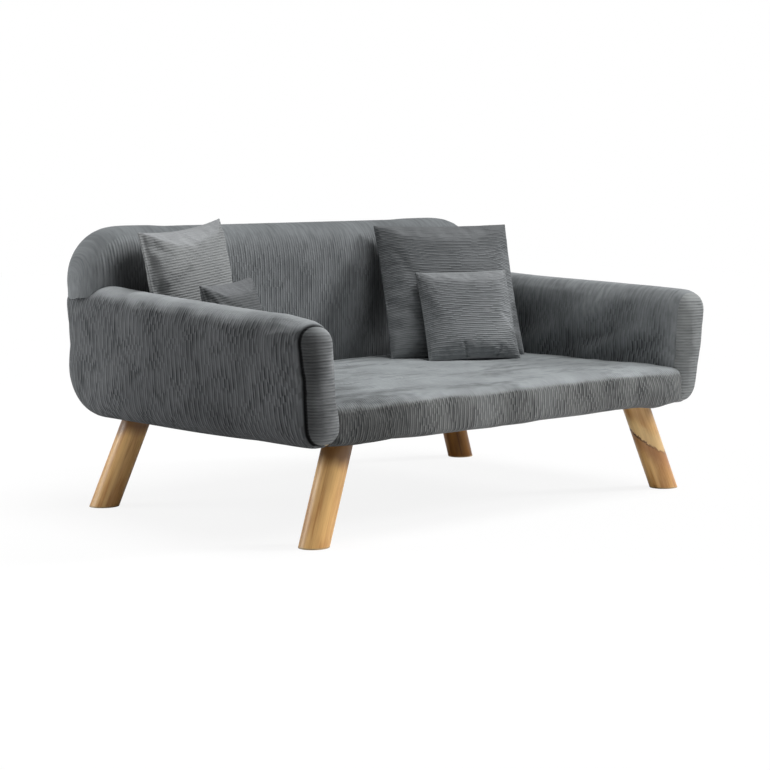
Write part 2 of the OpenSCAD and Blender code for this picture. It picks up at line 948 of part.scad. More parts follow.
front_rail();
rear_rail();
side_rail(-1);  // left_rail
side_rail(1);  // right_rail
centre_rail();
seat_deck();
deck_screws();
dust_cover();
arm_board(-1);  // left_arm_board
arm_board(1);  // right_arm_board
back_board();
arm_bolts();
arm_tee_nuts();
back_bolts();
back_tee_nuts();
seat_foam();
arm_foam(-1);  // left_arm_foam
arm_foam(1);  // right_arm_foam
back_foam();
seat_cover();
arm_cover(-1);  // left_arm_cover
arm_cover(1);  // right_arm_cover
front_panel(-1);  // left_front_panel
front_panel(1);  // right_front_panel
back_cover();
leg_plates();
plate_screws();
hanger_bolts();
leg(front_left_top);  // front_left_leg
leg(front_right_top);  // front_right_leg
leg(rear_left_top);  // rear_left_leg
leg(rear_right_top);  // rear_right_leg
leg_glides();
pillow_cover(left_large_pose, left_large_side, large_pillow_t);  // left_large_pillow_cover
pillow_filling(left_large_pose, left_large_side, large_pillow_t);  // left_large_pillow_filling
pillow_zip(left_large_pose, left_large_side);  // left_large_pillow_zip
pillow_cover(left_small_pose, left_small_side, small_pillow_t);  // left_small_pillow_cover
pillow_filling(left_small_pose, left_small_side, small_pillow_t);  // left_small_pillow_filling
pillow_zip(left_small_pose, left_small_side);  // left_small_pillow_zip
pillow_cover(right_large_pose, right_large_side, large_pillow_t);  // right_large_pillow_cover
pillow_filling(right_large_pose, right_large_side, large_pillow_t);  // right_large_pillow_filling
pillow_zip(right_large_pose, right_large_side);  // right_large_pillow_zip
pillow_cover(right_small_pose, right_small_side, small_pillow_t);  // right_small_pillow_cover
pillow_filling(right_small_pose, right_small_side, small_pillow_t);  // right_small_pillow_filling
pillow_zip(right_small_pose, right_small_side);  // right_small_pillow_zip
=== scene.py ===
import math

import bpy
import numpy as np
from mathutils import Matrix, Vector, bvhtree, noise


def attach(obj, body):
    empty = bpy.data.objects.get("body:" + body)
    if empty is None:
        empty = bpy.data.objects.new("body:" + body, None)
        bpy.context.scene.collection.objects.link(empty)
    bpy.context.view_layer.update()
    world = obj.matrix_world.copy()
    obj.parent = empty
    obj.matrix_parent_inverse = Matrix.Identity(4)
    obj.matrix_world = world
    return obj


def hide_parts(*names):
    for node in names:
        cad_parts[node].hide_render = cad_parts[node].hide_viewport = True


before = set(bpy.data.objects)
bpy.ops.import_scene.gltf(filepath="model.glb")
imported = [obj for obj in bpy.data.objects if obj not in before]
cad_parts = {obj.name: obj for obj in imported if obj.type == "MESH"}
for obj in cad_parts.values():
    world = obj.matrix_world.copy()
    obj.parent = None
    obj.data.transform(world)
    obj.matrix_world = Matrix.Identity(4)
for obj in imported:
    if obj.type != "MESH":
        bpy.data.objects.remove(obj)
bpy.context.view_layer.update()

# Camera
# The sofa is seen from its front left corner, from a little above the seat, with a long lens.
# All the soft pieces below are made in metres about the middle of the sofa's floor.
camera_place = Vector((-2.3227, -2.4415, 0.5566))
camera_target = Vector((-0.0190, -0.0045, 0.1874))
camera_lens = 95.2
camera_data = bpy.data.cameras.new("camera")
camera_data.lens = camera_lens
camera_data.sensor_width = 36
camera_data.clip_end = 50
camera = bpy.data.objects.new("camera", camera_data)
bpy.context.scene.collection.objects.link(camera)
camera.location = camera_place
camera.rotation_euler = (camera_target - camera_place).to_track_quat("-Z", "Y").to_euler()
bpy.context.scene.camera = camera
bpy.context.scene.view_settings.view_transform = "Standard"


# Timber frame
# Planed pine rails and a birch plywood deck carry everything. The rails are screwed at
# their ends and the deck is screwed down on them, all of it hidden by cloth from above.
def linear(red, green, blue):
    """A colour written as it is seen, 0 to 255, as the shader's linear colour."""
    seen = [c / 255 for c in (red, green, blue)]
    return tuple(c / 12.92 if c <= 0.04045 else ((c + 0.055) / 1.055) ** 2.4 for c in seen) + (1,)


def finish_named(name, roughness, metallic=0.0, specular=0.5):
    """A new material with its shader, and the tree that its pattern is drawn in."""
    finish = bpy.data.materials.new(name)
    finish.use_nodes = True
    shader = finish.node_tree.nodes["Principled BSDF"]
    shader.inputs["Roughness"].default_value = roughness
    shader.inputs["Metallic"].default_value = metallic
    shader.inputs["Specular IOR Level"].default_value = specular
    return finish, finish.node_tree, shader


def figure(tree, kind, *values, clamp=False):
    """A sum or product of sockets and numbers in a pattern."""
    node = tree.nodes.new("ShaderNodeMath")
    node.operation = kind
    node.use_clamp = clamp
    for k, value in enumerate(values):
        if hasattr(value, "node"):
            tree.links.new(value, node.inputs[k])
        else:
            node.inputs[k].default_value = value
    return node.outputs[0]


def spread(tree, value, low, high, to_low=0.0, to_high=1.0):
    """A value stretched so that low to high becomes to_low to to_high."""
    node = tree.nodes.new("ShaderNodeMapRange")
    node.interpolation_type = "SMOOTHSTEP"
    tree.links.new(value, node.inputs["Value"])
    for label, number in (
        ("From Min", low), ("From Max", high), ("To Min", to_low), ("To Max", to_high),
    ):
        node.inputs[label].default_value = number
    return node.outputs["Result"]


def speckle(tree, place, scale, detail=2.0, rough=0.5, warp=0.0):
    """Noise of a scale, read at a place."""
    node = tree.nodes.new("ShaderNodeTexNoise")
    node.inputs["Scale"].default_value = scale
    node.inputs["Detail"].default_value = detail
    node.inputs["Roughness"].default_value = rough
    node.inputs["Distortion"].default_value = warp
    tree.links.new(place, node.inputs["Vector"])
    return node.outputs["Fac"]


def stretched(tree, place, scale, turn=(0, 0, 0), shift=(0, 0, 0)):
    """A place turned and stretched, for a pattern that runs one way."""
    node = tree.nodes.new("ShaderNodeMapping")
    node.vector_type = "POINT"
    node.inputs["Location"].default_value = shift
    node.inputs["Rotation"].default_value = turn
    node.inputs["Scale"].default_value = scale
    tree.links.new(place, node.inputs["Vector"])
    return node.outputs["Vector"]


def blended(tree, share, first, second):
    """Two colours mixed by a share."""
    node = tree.nodes.new("ShaderNodeMix")
    node.data_type = "RGBA"
    sockets = [s for s in node.inputs if s.type == "RGBA"]
    for socket, colour in zip(sockets, (first, second)):
        if hasattr(colour, "node"):
            tree.links.new(colour, socket)
        else:
            socket.default_value = colour
    if hasattr(share, "node"):
        tree.links.new(share, node.inputs[0])
    else:
        node.inputs[0].default_value = share
    return [s for s in node.outputs if s.type == "RGBA"][0]


def raised(tree, height, depth, strength=1.0, under=None):
    """A bump of a real depth from a height of 0 to 1."""
    node = tree.nodes.new("ShaderNodeBump")
    node.inputs["Strength"].default_value = strength
    node.inputs["Distance"].default_value = depth
    tree.links.new(height, node.inputs["Height"])
    if under is not None:
        tree.links.new(under, node.inputs["Normal"])
    return node.outputs["Normal"]


def object_place(tree):
    """Where a point is on its piece, in metres."""
    return tree.nodes.new("ShaderNodeTexCoord").outputs["Object"]


def wood(name, pale, dark, grain, roughness=0.55):
    """Wood. Its grain runs along the axis that has the smallest of the three scales."""
    finish, tree, shader = finish_named(name, roughness)
    place = object_place(tree)
    long_way = stretched(tree, place, grain)
    rings = speckle(tree, long_way, 1.0, 3.0, 0.55, 0.6)
    fibres = speckle(tree, stretched(tree, long_way, (6, 6, 1.6)), 1.0, 4.0, 0.6)
    cloud = speckle(tree, place, 14.0, 2.0)
    share = figure(tree, "ADD", spread(tree, rings, 0.38, 0.66, 0, 0.75),
                   spread(tree, fibres, 0.35, 0.75, 0, 0.4))
    share = figure(tree, "MULTIPLY", share, spread(tree, cloud, 0.3, 0.7, 0.55, 1.1), clamp=True)
    colour = blended(tree, share, pale, dark)
    tree.links.new(colour, shader.inputs["Base Color"])
    rough = figure(tree, "MULTIPLY_ADD", fibres, 0.2, roughness - 0.1)
    tree.links.new(rough, shader.inputs["Roughness"])
    tree.links.new(raised(tree, fibres, 0.0004, 0.5), shader.inputs["Normal"])
    return finish


def dressed(finish, *nodes):
    """Puts a finish on CAD nodes, whose shapes stay as they are."""
    for node in nodes:
        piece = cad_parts[node]
        if not piece.material_slots:
            piece.data.materials.append(finish)
        for slot in piece.material_slots:
            slot.material = finish


pine_across = wood("pine_across", linear(226, 196, 148), linear(186, 142, 92), (9, 90, 90))
pine_along = wood("pine_along", linear(224, 193, 146), linear(184, 140, 90), (90, 9, 90))
dressed(pine_across, "front_rail", "rear_rail")
dressed(pine_along, "left_rail", "right_rail", "centre_rail")
plywood = wood("birch_plywood", linear(222, 200, 162), linear(192, 160, 116), (7, 60, 60))
dressed(plywood, "seat_deck", "back_board")
plywood_end = wood("birch_plywood_side", linear(220, 198, 160), linear(190, 158, 114), (60, 7, 60))
dressed(plywood_end, "left_arm_board", "right_arm_board")

# Fasteners and leg plates
# Zinc-plated screws, bolts and pronged nuts, and a pressed steel plate over each leg with a
# hanger bolt through it. The plating is dull, with a faint cloudy spangle.
zinc, zinc_tree, zinc_shader = finish_named("zinc_plate", 0.42, 1.0)
zinc_cloud = speckle(zinc_tree, object_place(zinc_tree), 90.0, 3.0)
zinc_colour = blended(zinc_tree, spread(zinc_tree, zinc_cloud, 0.3, 0.7),
                      linear(186, 190, 194), linear(150, 155, 160))
zinc_tree.links.new(zinc_colour, zinc_shader.inputs["Base Color"])
zinc_tree.links.new(spread(zinc_tree, zinc_cloud, 0.2, 0.8, 0.34, 0.5),
                    zinc_shader.inputs["Roughness"])
dressed(zinc, "deck_screws", "arm_bolts", "arm_tee_nuts", "back_bolts", "back_tee_nuts",
        "plate_screws", "hanger_bolts", "leg_plates")

# Dust cover
# Black non-woven cloth stapled under the frame. It has the small pressed dots of such cloth.
dust, dust_tree, dust_shader = finish_named("black_dust_cloth", 0.92, specular=0.2)
dust_place = object_place(dust_tree)
dust_dots = dust_tree.nodes.new("ShaderNodeTexVoronoi")
dust_dots.inputs["Scale"].default_value = 420.0
dust_tree.links.new(dust_place, dust_dots.inputs["Vector"])
dust_dot = spread(dust_tree, dust_dots.outputs["Distance"], 0.15, 0.4)
dust_fuzz = speckle(dust_tree, dust_place, 900.0, 3.0)
dust_shade = figure(dust_tree, "MULTIPLY", dust_dot, dust_fuzz)
dust_tree.links.new(blended(dust_tree, dust_shade, linear(22, 22, 23), linear(44, 44, 46)),
                    dust_shader.inputs["Base Color"])
dust_tree.links.new(raised(dust_tree, dust_dot, 0.0003), dust_shader.inputs["Normal"])
dressed(dust, "dust_cover")

# Legs
# Four round splayed legs of honey-coloured hardwood, clear lacquered, each on a nylon glide.
# The grain runs along each leg, and the front right one shows a dark knot with cracks.
leg_tops = {
    "front_left_leg": (-0.338, -0.2425, 0.1495), "front_right_leg": (0.338, -0.2425, 0.1495),
    "rear_left_leg": (-0.350, 0.228, 0.1495), "rear_right_leg": (0.350, 0.228, 0.1495),
}
leg_feet = {
    "front_left_leg": (-0.400, -0.2575, 0.0), "front_right_leg": (0.400, -0.2575, 0.0),
    "rear_left_leg": (-0.412, 0.243, 0.0), "rear_right_leg": (0.412, 0.243, 0.0),
}
leg_pale, leg_dark = linear(222, 178, 112), linear(176, 122, 62)
leg_stain, leg_crack = linear(150, 94, 44), linear(64, 28, 12)
leg_light, leg_top_tone = linear(226, 196, 138), linear(96, 60, 20)
leg_shade_z, leg_shade_top_z = 0.104, 0.130
crack_half, crack_fade, knot_round = 0.0010, 0.0042, 0.014


def leg_wood(name, top, foot, round_turn, knot, shaded, pale=leg_pale, dark=leg_dark,
             coat=0.15):
    """Lacquered wood with its grain along a leg, from foot to top, a knot at a height, and a
    darker top where the seat shades it."""
    axis = (Vector(top) - Vector(foot)).normalized()
    turn = axis.to_track_quat("Z", "Y").inverted().to_euler("XYZ")
    shift = -(turn.to_matrix() @ Vector(foot))
    finish, tree, shader = finish_named(name, 0.42)
    place = stretched(tree, object_place(tree), (1, 1, 1), turn, shift)
    place = stretched(tree, place, (1, 1, 1), (0, 0, round_turn))
    long_way = stretched(tree, place, (110, 110, 7))
    rings = speckle(tree, long_way, 1.0, 3.0, 0.5, 0.8)
    fibres = speckle(tree, stretched(tree, place, (520, 520, 22)), 1.0, 3.0, 0.6)
    cloud = speckle(tree, stretched(tree, place, (30, 30, 12)), 1.0, 2.0)
    share = figure(tree, "ADD", spread(tree, rings, 0.4, 0.68, 0, 0.6),
                   spread(tree, fibres, 0.35, 0.75, 0, 0.3))
    share = figure(tree, "ADD", share, spread(tree, cloud, 0.42, 0.72, 0, 0.5), clamp=True)
    colour = blended(tree, share, pale, dark)
    if knot:
        axes = tree.nodes.new("ShaderNodeSeparateXYZ")
        tree.links.new(place, axes.inputs[0])
        ragged = speckle(tree, stretched(tree, place, (150, 150, 90)), 1.0, 4.0, 0.6, 1.0)
        slope = figure(tree, "MULTIPLY_ADD", axes.outputs["X"], 1.35, axes.outputs["Z"])
        over = figure(tree, "ADD", figure(tree, "SUBTRACT", slope, knot),
                      figure(tree, "MULTIPLY_ADD", ragged, 0.020, -0.010))
        fore = spread(tree, axes.outputs["Y"], 0.0, knot_round, 1, 0)
        red = figure(tree, "MULTIPLY", spread(tree, over, -0.050, -0.010, 0, 0.75),
                     spread(tree, over, -0.001, 0.002, 1, 0))
        colour = blended(tree, figure(tree, "MULTIPLY", red, fore), colour, leg_stain)
        light = figure(tree, "MULTIPLY", spread(tree, over, 0.0, 0.004, 0, 0.55),
                       spread(tree, over, 0.020, 0.045, 1, 0))
        colour = blended(tree, figure(tree, "MULTIPLY", light, fore), colour, leg_light)
        line = spread(tree, figure(tree, "ABSOLUTE", over), crack_half, crack_fade, 1, 0)
        deep = spread(tree, axes.outputs["X"], -0.018, 0.016, 1, 0.35)
        cracks = figure(tree, "MULTIPLY", figure(tree, "MULTIPLY", line, deep), fore)
        colour = blended(tree, cracks, colour, leg_crack)
    height = tree.nodes.new("ShaderNodeSeparateXYZ")
    tree.links.new(object_place(tree), height.inputs[0])
    handled = figure(tree, "ADD", height.outputs["Z"],
                     figure(tree, "MULTIPLY_ADD", cloud, 0.03, -0.015))
    under_seat = spread(tree, handled, leg_shade_z, leg_shade_top_z, 0, shaded)
    colour = blended(tree, under_seat, colour, leg_top_tone)
    tree.links.new(colour, shader.inputs["Base Color"])
    tree.links.new(spread(tree, fibres, 0.2, 0.8, 0.36, 0.5), shader.inputs["Roughness"])
    tree.links.new(raised(tree, fibres, 0.0003, 0.6), shader.inputs["Normal"])
    shader.inputs["Specular IOR Level"].default_value = 0.2 + 2 * coat
    shader.inputs["Coat Weight"].default_value = coat
    shader.inputs["Coat Roughness"].default_value = 0.3
    return finish


# How far each leg's grain is turned round, its knot's height, and how strong the painted shade
# on its top is. The rear right one also has its own darker tones, painted shade for its place
# under the sofa, and a duller lacquer.
leg_looks = {
    "front_left_leg": (0.0, 0.0, 0.9), "front_right_leg": (-0.92, 0.092, 0.3),
    "rear_left_leg": (1.8, 0.0, 0.9),
    "rear_right_leg": (2.7, 0.0, 0.9, linear(118, 76, 14), linear(84, 50, 6), 0.02),
}
for leg, looks in leg_looks.items():
    dressed(leg_wood(leg + "_wood", leg_tops[leg], leg_feet[leg], *looks), leg)
nylon, nylon_tree, nylon_shader = finish_named("glide_nylon", 0.5)
nylon_scuff = speckle(nylon_tree, object_place(nylon_tree), 300.0, 3.0)
nylon_tree.links.new(blended(nylon_tree, nylon_scuff, linear(176, 152, 112), linear(150, 126, 88)),
                     nylon_shader.inputs["Base Color"])
dressed(nylon, "leg_glides")


# Arms
# Each arm is a board wrapped in foam and a sewn corduroy cover. The ribs run up the outside,
# over the top and down the inside, and the cover goes on round the heel to the rear.
arm_x, arm_foot_z, arm_lean, arm_twist, arm_toe = 0.410, 0.150, 3.5, 7.0, 0.008
sofa_rear, sofa_depth = 0.3075, 0.615
arm_outline = [(-0.3075, -0.003), (0.3075, -0.003), (0.3075, 0.202), (0.2045, 0.211),
               (-0.3075, 0.186)]
arm_radii = [0.034, 0.085, 0.018, 0.110, 0.034]
arm_half, arm_rim, arm_crown, arm_crown_run = 0.035, 0.027, 0.003, 0.030
panel_seam_y = -0.2880
seam_rows = (-0.0040, -0.0015, 0.0, 0.0015, 0.0040)
seam_gap = 0.0003
seam_groove = {-1: 0.0030, 1: 0.0010}
seam_shade = {-1: 1.0, 1: 0.12}
cutter_gap, cutter_out, cutter_back, cutter_split_z = 0.0004, 0.03, 0.012, 0.325
heel_radius, heel_turn = 0.030, 0.012
foot_slack, left_sink, right_draw, right_swell = 0.006, 0.008, 0.015, 0.004
least_radius = 0.002


def arm_middle(y, height):
    """How far out the middle of an arm is, at a depth and a height over the arm's foot."""
    turned = height * math.tan(math.radians(arm_twist)) - arm_toe
    return (arm_x + height * math.tan(math.radians(arm_lean))
            + turned * ((sofa_rear - y) / sofa_depth - 0.5))


def rounded_ring(points, radii, inset, steps=8):
    """An outline drawn in by an inset, with its corners rounded about the same centres."""
    ring = []
    count = len(points)
    for i in range(count):
        here = Vector(points[i])
        back = (Vector(points[i - 1]) - here).normalized()
        on = (Vector(points[(i + 1) % count]) - here).normalized()
        half = back.angle(on) / 2
        radius = max(radii[i] - inset, least_radius)
        centre = here + (back + on).normalized() * (radius + inset) / math.sin(half)
        start = math.atan2(back.x, -back.y)
        for k in range(steps + 1):
            angle = start + (math.pi - 2 * half) * k / steps
            ring.append(centre + radius * Vector((math.cos(angle), math.sin(angle))))
    return ring


def one_face(half, rim, crown, run):
    """Insets and heights from a form's widest line to the flat of its face."""
    rim_steps, crown_steps = 7, 3
    rim_angles = [math.pi / (2 * rim_steps) * k for k in range(rim_steps + 1)]
    steps = [(rim * (1 - math.cos(angle)), half - crown - rim * (1 - math.sin(angle)))
             for angle in rim_angles]
    for k in range(1, crown_steps + 1):
        rise = crown * math.sin(math.pi / (2 * crown_steps) * k)
        steps.append((rim + run * k / crown_steps, half - crown + rise))
    return steps


def both_faces(half, rim, crown, run):
    face = one_face(half, rim, crown, run)
    return [(inset, -height) for inset, height in reversed(face)] + face


def clear_selection():
    bpy.ops.object.select_all(action="DESELECT")


def only(piece):
    clear_selection()
    piece.select_set(True)
    bpy.context.view_layer.objects.active = piece


def worked(piece, *steps):
    """Runs mesh tools, each with its settings, on the whole of a piece."""
    only(piece)
    bpy.ops.object.mode_set(mode="EDIT")
    for tool, settings in steps:
        bpy.ops.mesh.select_all(action="SELECT")
        tool(**settings)
    bpy.ops.object.mode_set(mode="OBJECT")


def twin(piece, name):
    """A copy of a piece, with a mesh of its own."""
    copy = piece.copy()
    copy.data = piece.data.copy()
    copy.name = copy.data.name = name
    bpy.context.scene.collection.objects.link(copy)
    return copy


def padded_form(name, points, radii, profile, placed):
    """A ball whose rings are drawn out to a rounded outline, ring by ring across it."""
    rings = [rounded_ring(points, radii, inset) for inset, height in profile]
    count, last = len(rings[0]), len(rings) - 1
    clear_selection()
    bpy.ops.mesh.primitive_uv_sphere_add(segments=count, ring_count=last + 2, radius=1)
    piece = bpy.context.object
    piece.name = piece.data.name = name
    middles = [sum(ring, Vector((0, 0))) / count for ring in rings]
    for vertex in piece.data.vertices:
        polar = math.acos(max(-1, min(1, vertex.co.z))) / math.pi * (last + 2)
        k = round(polar) - 1
        if k < 0 or k > last:
            k = 0 if k < 0 else last
            spot = middles[k]
        else:
            i = round(math.atan2(vertex.co.y, vertex.co.x) / (2 * math.pi) * count) % count
            spot = rings[k][i]
        vertex.co = placed(spot.x, spot.y, profile[k][1])
    faces_outward(piece)
    return piece


def faces_outward(piece):
    worked(piece, (bpy.ops.mesh.remove_doubles, {"threshold": 0.00001}),
           (bpy.ops.mesh.normals_make_consistent, {"inside": False}))


def cut_off(piece, place, normal):
    """Saws a piece off at a plane and closes it. What lies on the normal's side goes."""
    cut = {"plane_co": place, "plane_no": normal, "use_fill": True, "clear_outer": True}
    worked(piece, (bpy.ops.mesh.bisect, cut),
           (bpy.ops.mesh.normals_make_consistent, {"inside": False}))


def finished_with(piece, kind, **settings):
    """Adds a modifier with its settings and applies it."""
    only(piece)
    modifier = piece.modifiers.new(kind.lower(), kind)
    for name, value in settings.items():
        setattr(modifier, name, value)
    bpy.ops.object.modifier_apply(modifier=modifier.name)


def points_of(piece):
    flat = np.empty(len(piece.data.vertices) * 3)
    piece.data.vertices.foreach_get("co", flat)
    return flat.reshape(-1, 3)


def set_points(piece, points):
    piece.data.vertices.foreach_set("co", np.asarray(points, dtype=float).ravel())
    piece.data.update()


def normals_of(piece):
    flat = np.empty(len(piece.data.vertices) * 3)
    piece.data.vertex_normals.foreach_get("vector", flat)
    return flat.reshape(-1, 3)


def stuffed(piece, pressure, reach, slack=0.0, held=None, stiff=15.0):
    """Blows a cloth skin up from inside and keeps each point within a reach of its start.
    The held points stay."""
    only(piece)
    start = points_of(piece)
    if held is not None:
        group = piece.vertex_groups.new(name="held")
        group.add([int(k) for k in np.flatnonzero(held)], 1.0, "REPLACE")
    cloth = piece.modifiers.new("cloth", "CLOTH")
    cloth.settings.quality = 5
    cloth.settings.mass = 0.3
    cloth.settings.tension_stiffness = stiff
    cloth.settings.compression_stiffness = stiff
    cloth.settings.shear_stiffness = stiff / 3
    cloth.settings.bending_stiffness = 0.5
    cloth.settings.use_pressure = True
    cloth.settings.uniform_pressure_force = pressure
    cloth.settings.shrink_min = -slack
    cloth.settings.effector_weights.gravity = 0
    if held is not None:
        cloth.settings.vertex_group_mass = "held"
    stuffing_steps = 20
    for step in range(1, stuffing_steps + 1):
        bpy.context.scene.frame_set(step)
    bpy.ops.object.modifier_apply(modifier=cloth.name)
    bpy.context.scene.frame_set(1)
    move = points_of(piece) - start
    length = np.linalg.norm(move, axis=1, keepdims=True)
    near = reach * np.tanh(length / reach) / np.maximum(length, 1e-9)
    set_points(piece, start + move * near)
    if held is not None:
        piece.vertex_groups.clear()


def plumped(piece, voxel, pressure, reach):
    """Gives a form an even skin and stuffs it."""
    finished_with(piece, "REMESH", mode="VOXEL", voxel_size=voxel, use_smooth_shade=True)
    finished_with(piece, "SMOOTH", factor=0.5, iterations=2)
    stuffed(piece, pressure, reach, slack=0.01)


def finer(piece):
    finished_with(piece, "SUBSURF", levels=1, render_levels=1)


def shaded_smooth(piece, angle):
    """Shades a piece smooth, but for edges that turn by more than an angle in degrees."""
    only(piece)
    bpy.ops.object.shade_smooth_by_angle(angle=math.radians(angle))


def covered(piece, cloth):
    piece.data.materials.clear()
    piece.data.materials.append(cloth)


def ribbed(piece, across, along, tone=0.0):
    """Keeps, for each point, its place across and along the cloth's ribs, in metres, and its tone:
    paler over zero and darker under zero, as painted light and shade in most places and as
    brushed and pressed pile in a few."""
    layer = piece.data.attributes.new("rib_way", "FLOAT_VECTOR", "POINT")
    layer.data.foreach_set("vector", np.column_stack([across, along, across * 0 + tone]).ravel())


def ramp(value, start, end):
    """0 up to a start and 1 from an end on."""
    return np.clip((value - start) / (end - start), 0, 1)


def bell(value, width):
    """1 at zero and falling off on both sides of it."""
    return np.exp(-((value / width) ** 2))


def around(points, low, high, width):
    """How near points are to the line from low to high: 1 on it and 0 far off it."""
    low, high = np.array(low), np.array(high)
    way = high - low
    share = np.clip((points - low) @ way / (way @ way), 0, 1)
    return bell(np.linalg.norm(points - low - share[:, None] * way, axis=1), width)


def wrapped(value, edge, radius):
    """Length over a rounded edge: like the value up to the edge's start, and then its arc."""
    past = np.clip((value - (edge - radius)) / radius, 0, 1)
    return np.minimum(value, edge - radius) + radius * np.arcsin(past)


def corduroy(name, shade, lit_and_brushed_pile, groove, pitch, run, dash=0.5, streak=0.12, furrowed=0.42,
             mottle=0.24, sheen=0.10):
    """Ribbed cotton, with ribs of a pitch and dark dashes of a run. Painted light makes it paler
    where it faces up, with the ribs lost in it. The tone kept with its ribs paints light and
    shade on it, with brushed and pressed pile in places."""
    finish, tree, shader = finish_named(name, 0.86, specular=0.06)
    shader.inputs["Sheen Weight"].default_value = sheen
    shader.inputs["Sheen Roughness"].default_value = 0.45
    shader.inputs["Sheen Tint"].default_value = linear(200, 204, 208)
    way = tree.nodes.new("ShaderNodeAttribute")
    way.attribute_name = "rib_way"
    streak_wide, streak_long, rib_depth, fuzz_depth = 0.0062, 0.022, 0.0004, 0.0002
    fuzz_share, brushed_and_lit_share, pressed_and_shade_share = 0.16, 0.42, 0.08
    place = stretched(tree, way.outputs["Vector"], (1, 1, 0))
    axes = tree.nodes.new("ShaderNodeSeparateXYZ")
    tree.links.new(way.outputs["Vector"], axes.inputs[0])
    sway = speckle(tree, stretched(tree, place, (16, 7, 1)), 1.0, 2.0)
    phase = figure(tree, "MULTIPLY_ADD", axes.outputs["X"], 2 * math.pi / pitch,
                   figure(tree, "MULTIPLY", sway, 2.5))
    wale = figure(tree, "SINE", phase)
    furrow = spread(tree, wale, -1.0, 0.5, 1, 0)
    paired = figure(tree, "SINE", figure(tree, "MULTIPLY", phase, 0.5))
    if run:
        drift = speckle(tree, stretched(tree, place, (24, 16, 1)), 1.0, 1.0)
        turn = figure(tree, "SINE", figure(tree, "MULTIPLY_ADD", axes.outputs["Y"],
                                           2 * math.pi / run,
                                           figure(tree, "MULTIPLY", drift, 26.0)))
        paired = figure(tree, "MULTIPLY", paired, spread(tree, turn, -0.45, 0.45, -1, 1))
    dashes = spread(tree, paired, -0.7, 0.9)
    streak_place = stretched(tree, place, (1 / streak_wide, 1 / streak_long, 1))
    streaks = speckle(tree, streak_place, 1.0, 2.0, 0.5)
    crushed = spread(tree, streaks, 0.35, 0.70)
    broad = speckle(tree, stretched(tree, place, (11, 8, 1)), 1.0, 3.0)
    fuzz = speckle(tree, stretched(tree, place, (900, 420, 1)), 1.0, 2.0)
    facing = tree.nodes.new("ShaderNodeNewGeometry")
    upright = tree.nodes.new("ShaderNodeSeparateXYZ")
    tree.links.new(facing.outputs["Normal"], upright.inputs[0])
    # Painted light on what faces up: the normal's height, with some mottling, makes the pile paler
    painted_light_lift = figure(tree, "ADD", upright.outputs["Z"],
                  figure(tree, "MULTIPLY_ADD", broad, 0.44, -0.22))
    top = spread(tree, painted_light_lift, 0.35, 0.95)
    dark = figure(tree, "MULTIPLY_ADD", crushed, streak,
                  figure(tree, "MULTIPLY_ADD", furrow, furrowed,
                         figure(tree, "MULTIPLY", dashes, dash)))
    dark = figure(tree, "MULTIPLY", dark, spread(tree, top, 0.0, 0.8, 1, 0.1))
    worn = speckle(tree, stretched(tree, place, (30, 24, 1)), 1.0, 2.0)
    dark = figure(tree, "MULTIPLY", dark, spread(tree, worn, 0.3, 0.65, 1.1, 0.55))
    # Tone over zero is painted light, and brushed pile in places
    brushed_and_painted_light = figure(tree, "MULTIPLY", axes.outputs["Z"], 1.0, clamp=True)
    plain = figure(tree, "MULTIPLY_ADD", brushed_and_painted_light, -1.5, 1.0, clamp=True)
    dark = figure(tree, "MULTIPLY_ADD", dark, plain,
                  figure(tree, "MULTIPLY", figure(tree, "MULTIPLY", brushed_and_painted_light, crushed),
                         brushed_and_lit_share), clamp=True)
    pile = blended(tree, top, shade, lit_and_brushed_pile)
    pile = blended(tree, brushed_and_painted_light, pile, lit_and_brushed_pile)
    pile = blended(tree, spread(tree, broad, 0.3, 0.7, mottle, 0.0), pile, groove)
    pile = blended(tree, figure(tree, "MULTIPLY", fuzz, fuzz_share), pile, groove)
    colour = blended(tree, dark, pile, groove)
    # Tone under zero is painted shade, and pressed pile in places
    pressed_and_painted_shade = figure(tree, "MULTIPLY", axes.outputs["Z"], -1.0, clamp=True)
    pressed_and_shade_tone = tuple(pressed_and_shade_share * c for c in groove[:3]) + (1,)
    colour = blended(tree, pressed_and_painted_shade, colour, pressed_and_shade_tone)
    tree.links.new(colour, shader.inputs["Base Color"])
    height = figure(tree, "MULTIPLY", figure(tree, "MULTIPLY_ADD", dashes, -0.8, wale), plain)
    ribs = raised(tree, height, rib_depth, 0.8)
    tree.links.new(raised(tree, fuzz, fuzz_depth, 0.5, ribs), shader.inputs["Normal"])
    return finish


# Lit and shaded copies of one cloth: the left arm's is darker, as painted shade, and the right
# arm's paler, as painted light
arm_cloths = {
    -1: corduroy("left_arm_corduroy", linear(102, 104, 106), linear(168, 172, 174),
                 linear(24, 26, 28), pitch=0.0050, run=0.048, dash=0.48),
    1: corduroy("right_arm_corduroy", linear(140, 144, 146), linear(166, 170, 172),
                linear(46, 49, 51), pitch=0.0050, run=0.036, dash=0.4),
}
# Copies of one cloth for the end panels, the left darker as painted shade and the right paler as
# painted light
panel_cloths = {
    -1: corduroy("left_arm_end_corduroy", linear(132, 134, 135), linear(166, 170, 171),
                 linear(52, 54, 56), pitch=0.0044, dash=0.15, run=0, streak=0.2, furrowed=0.34),
    1: corduroy("right_arm_end_corduroy", linear(163, 166, 166), linear(163, 166, 166),
                linear(62, 65, 66), pitch=0.0048, dash=0.15, run=0.060, streak=0.2, furrowed=0.40),
}


def arm_slab(name, side):
    """One arm's whole padded form, leaning out and twisted from rear to front."""
    profile = both_faces(arm_half, arm_rim, arm_crown, arm_crown_run)

    def placed(y, height, out):
        lean = math.radians(arm_lean)
        up = height * math.cos(lean) - out * math.sin(lean)
        return Vector((side * (arm_middle(y, height) + out * math.cos(lean)), y,
                       arm_foot_z + up))
    return padded_form(name, arm_outline, arm_radii, profile, placed)


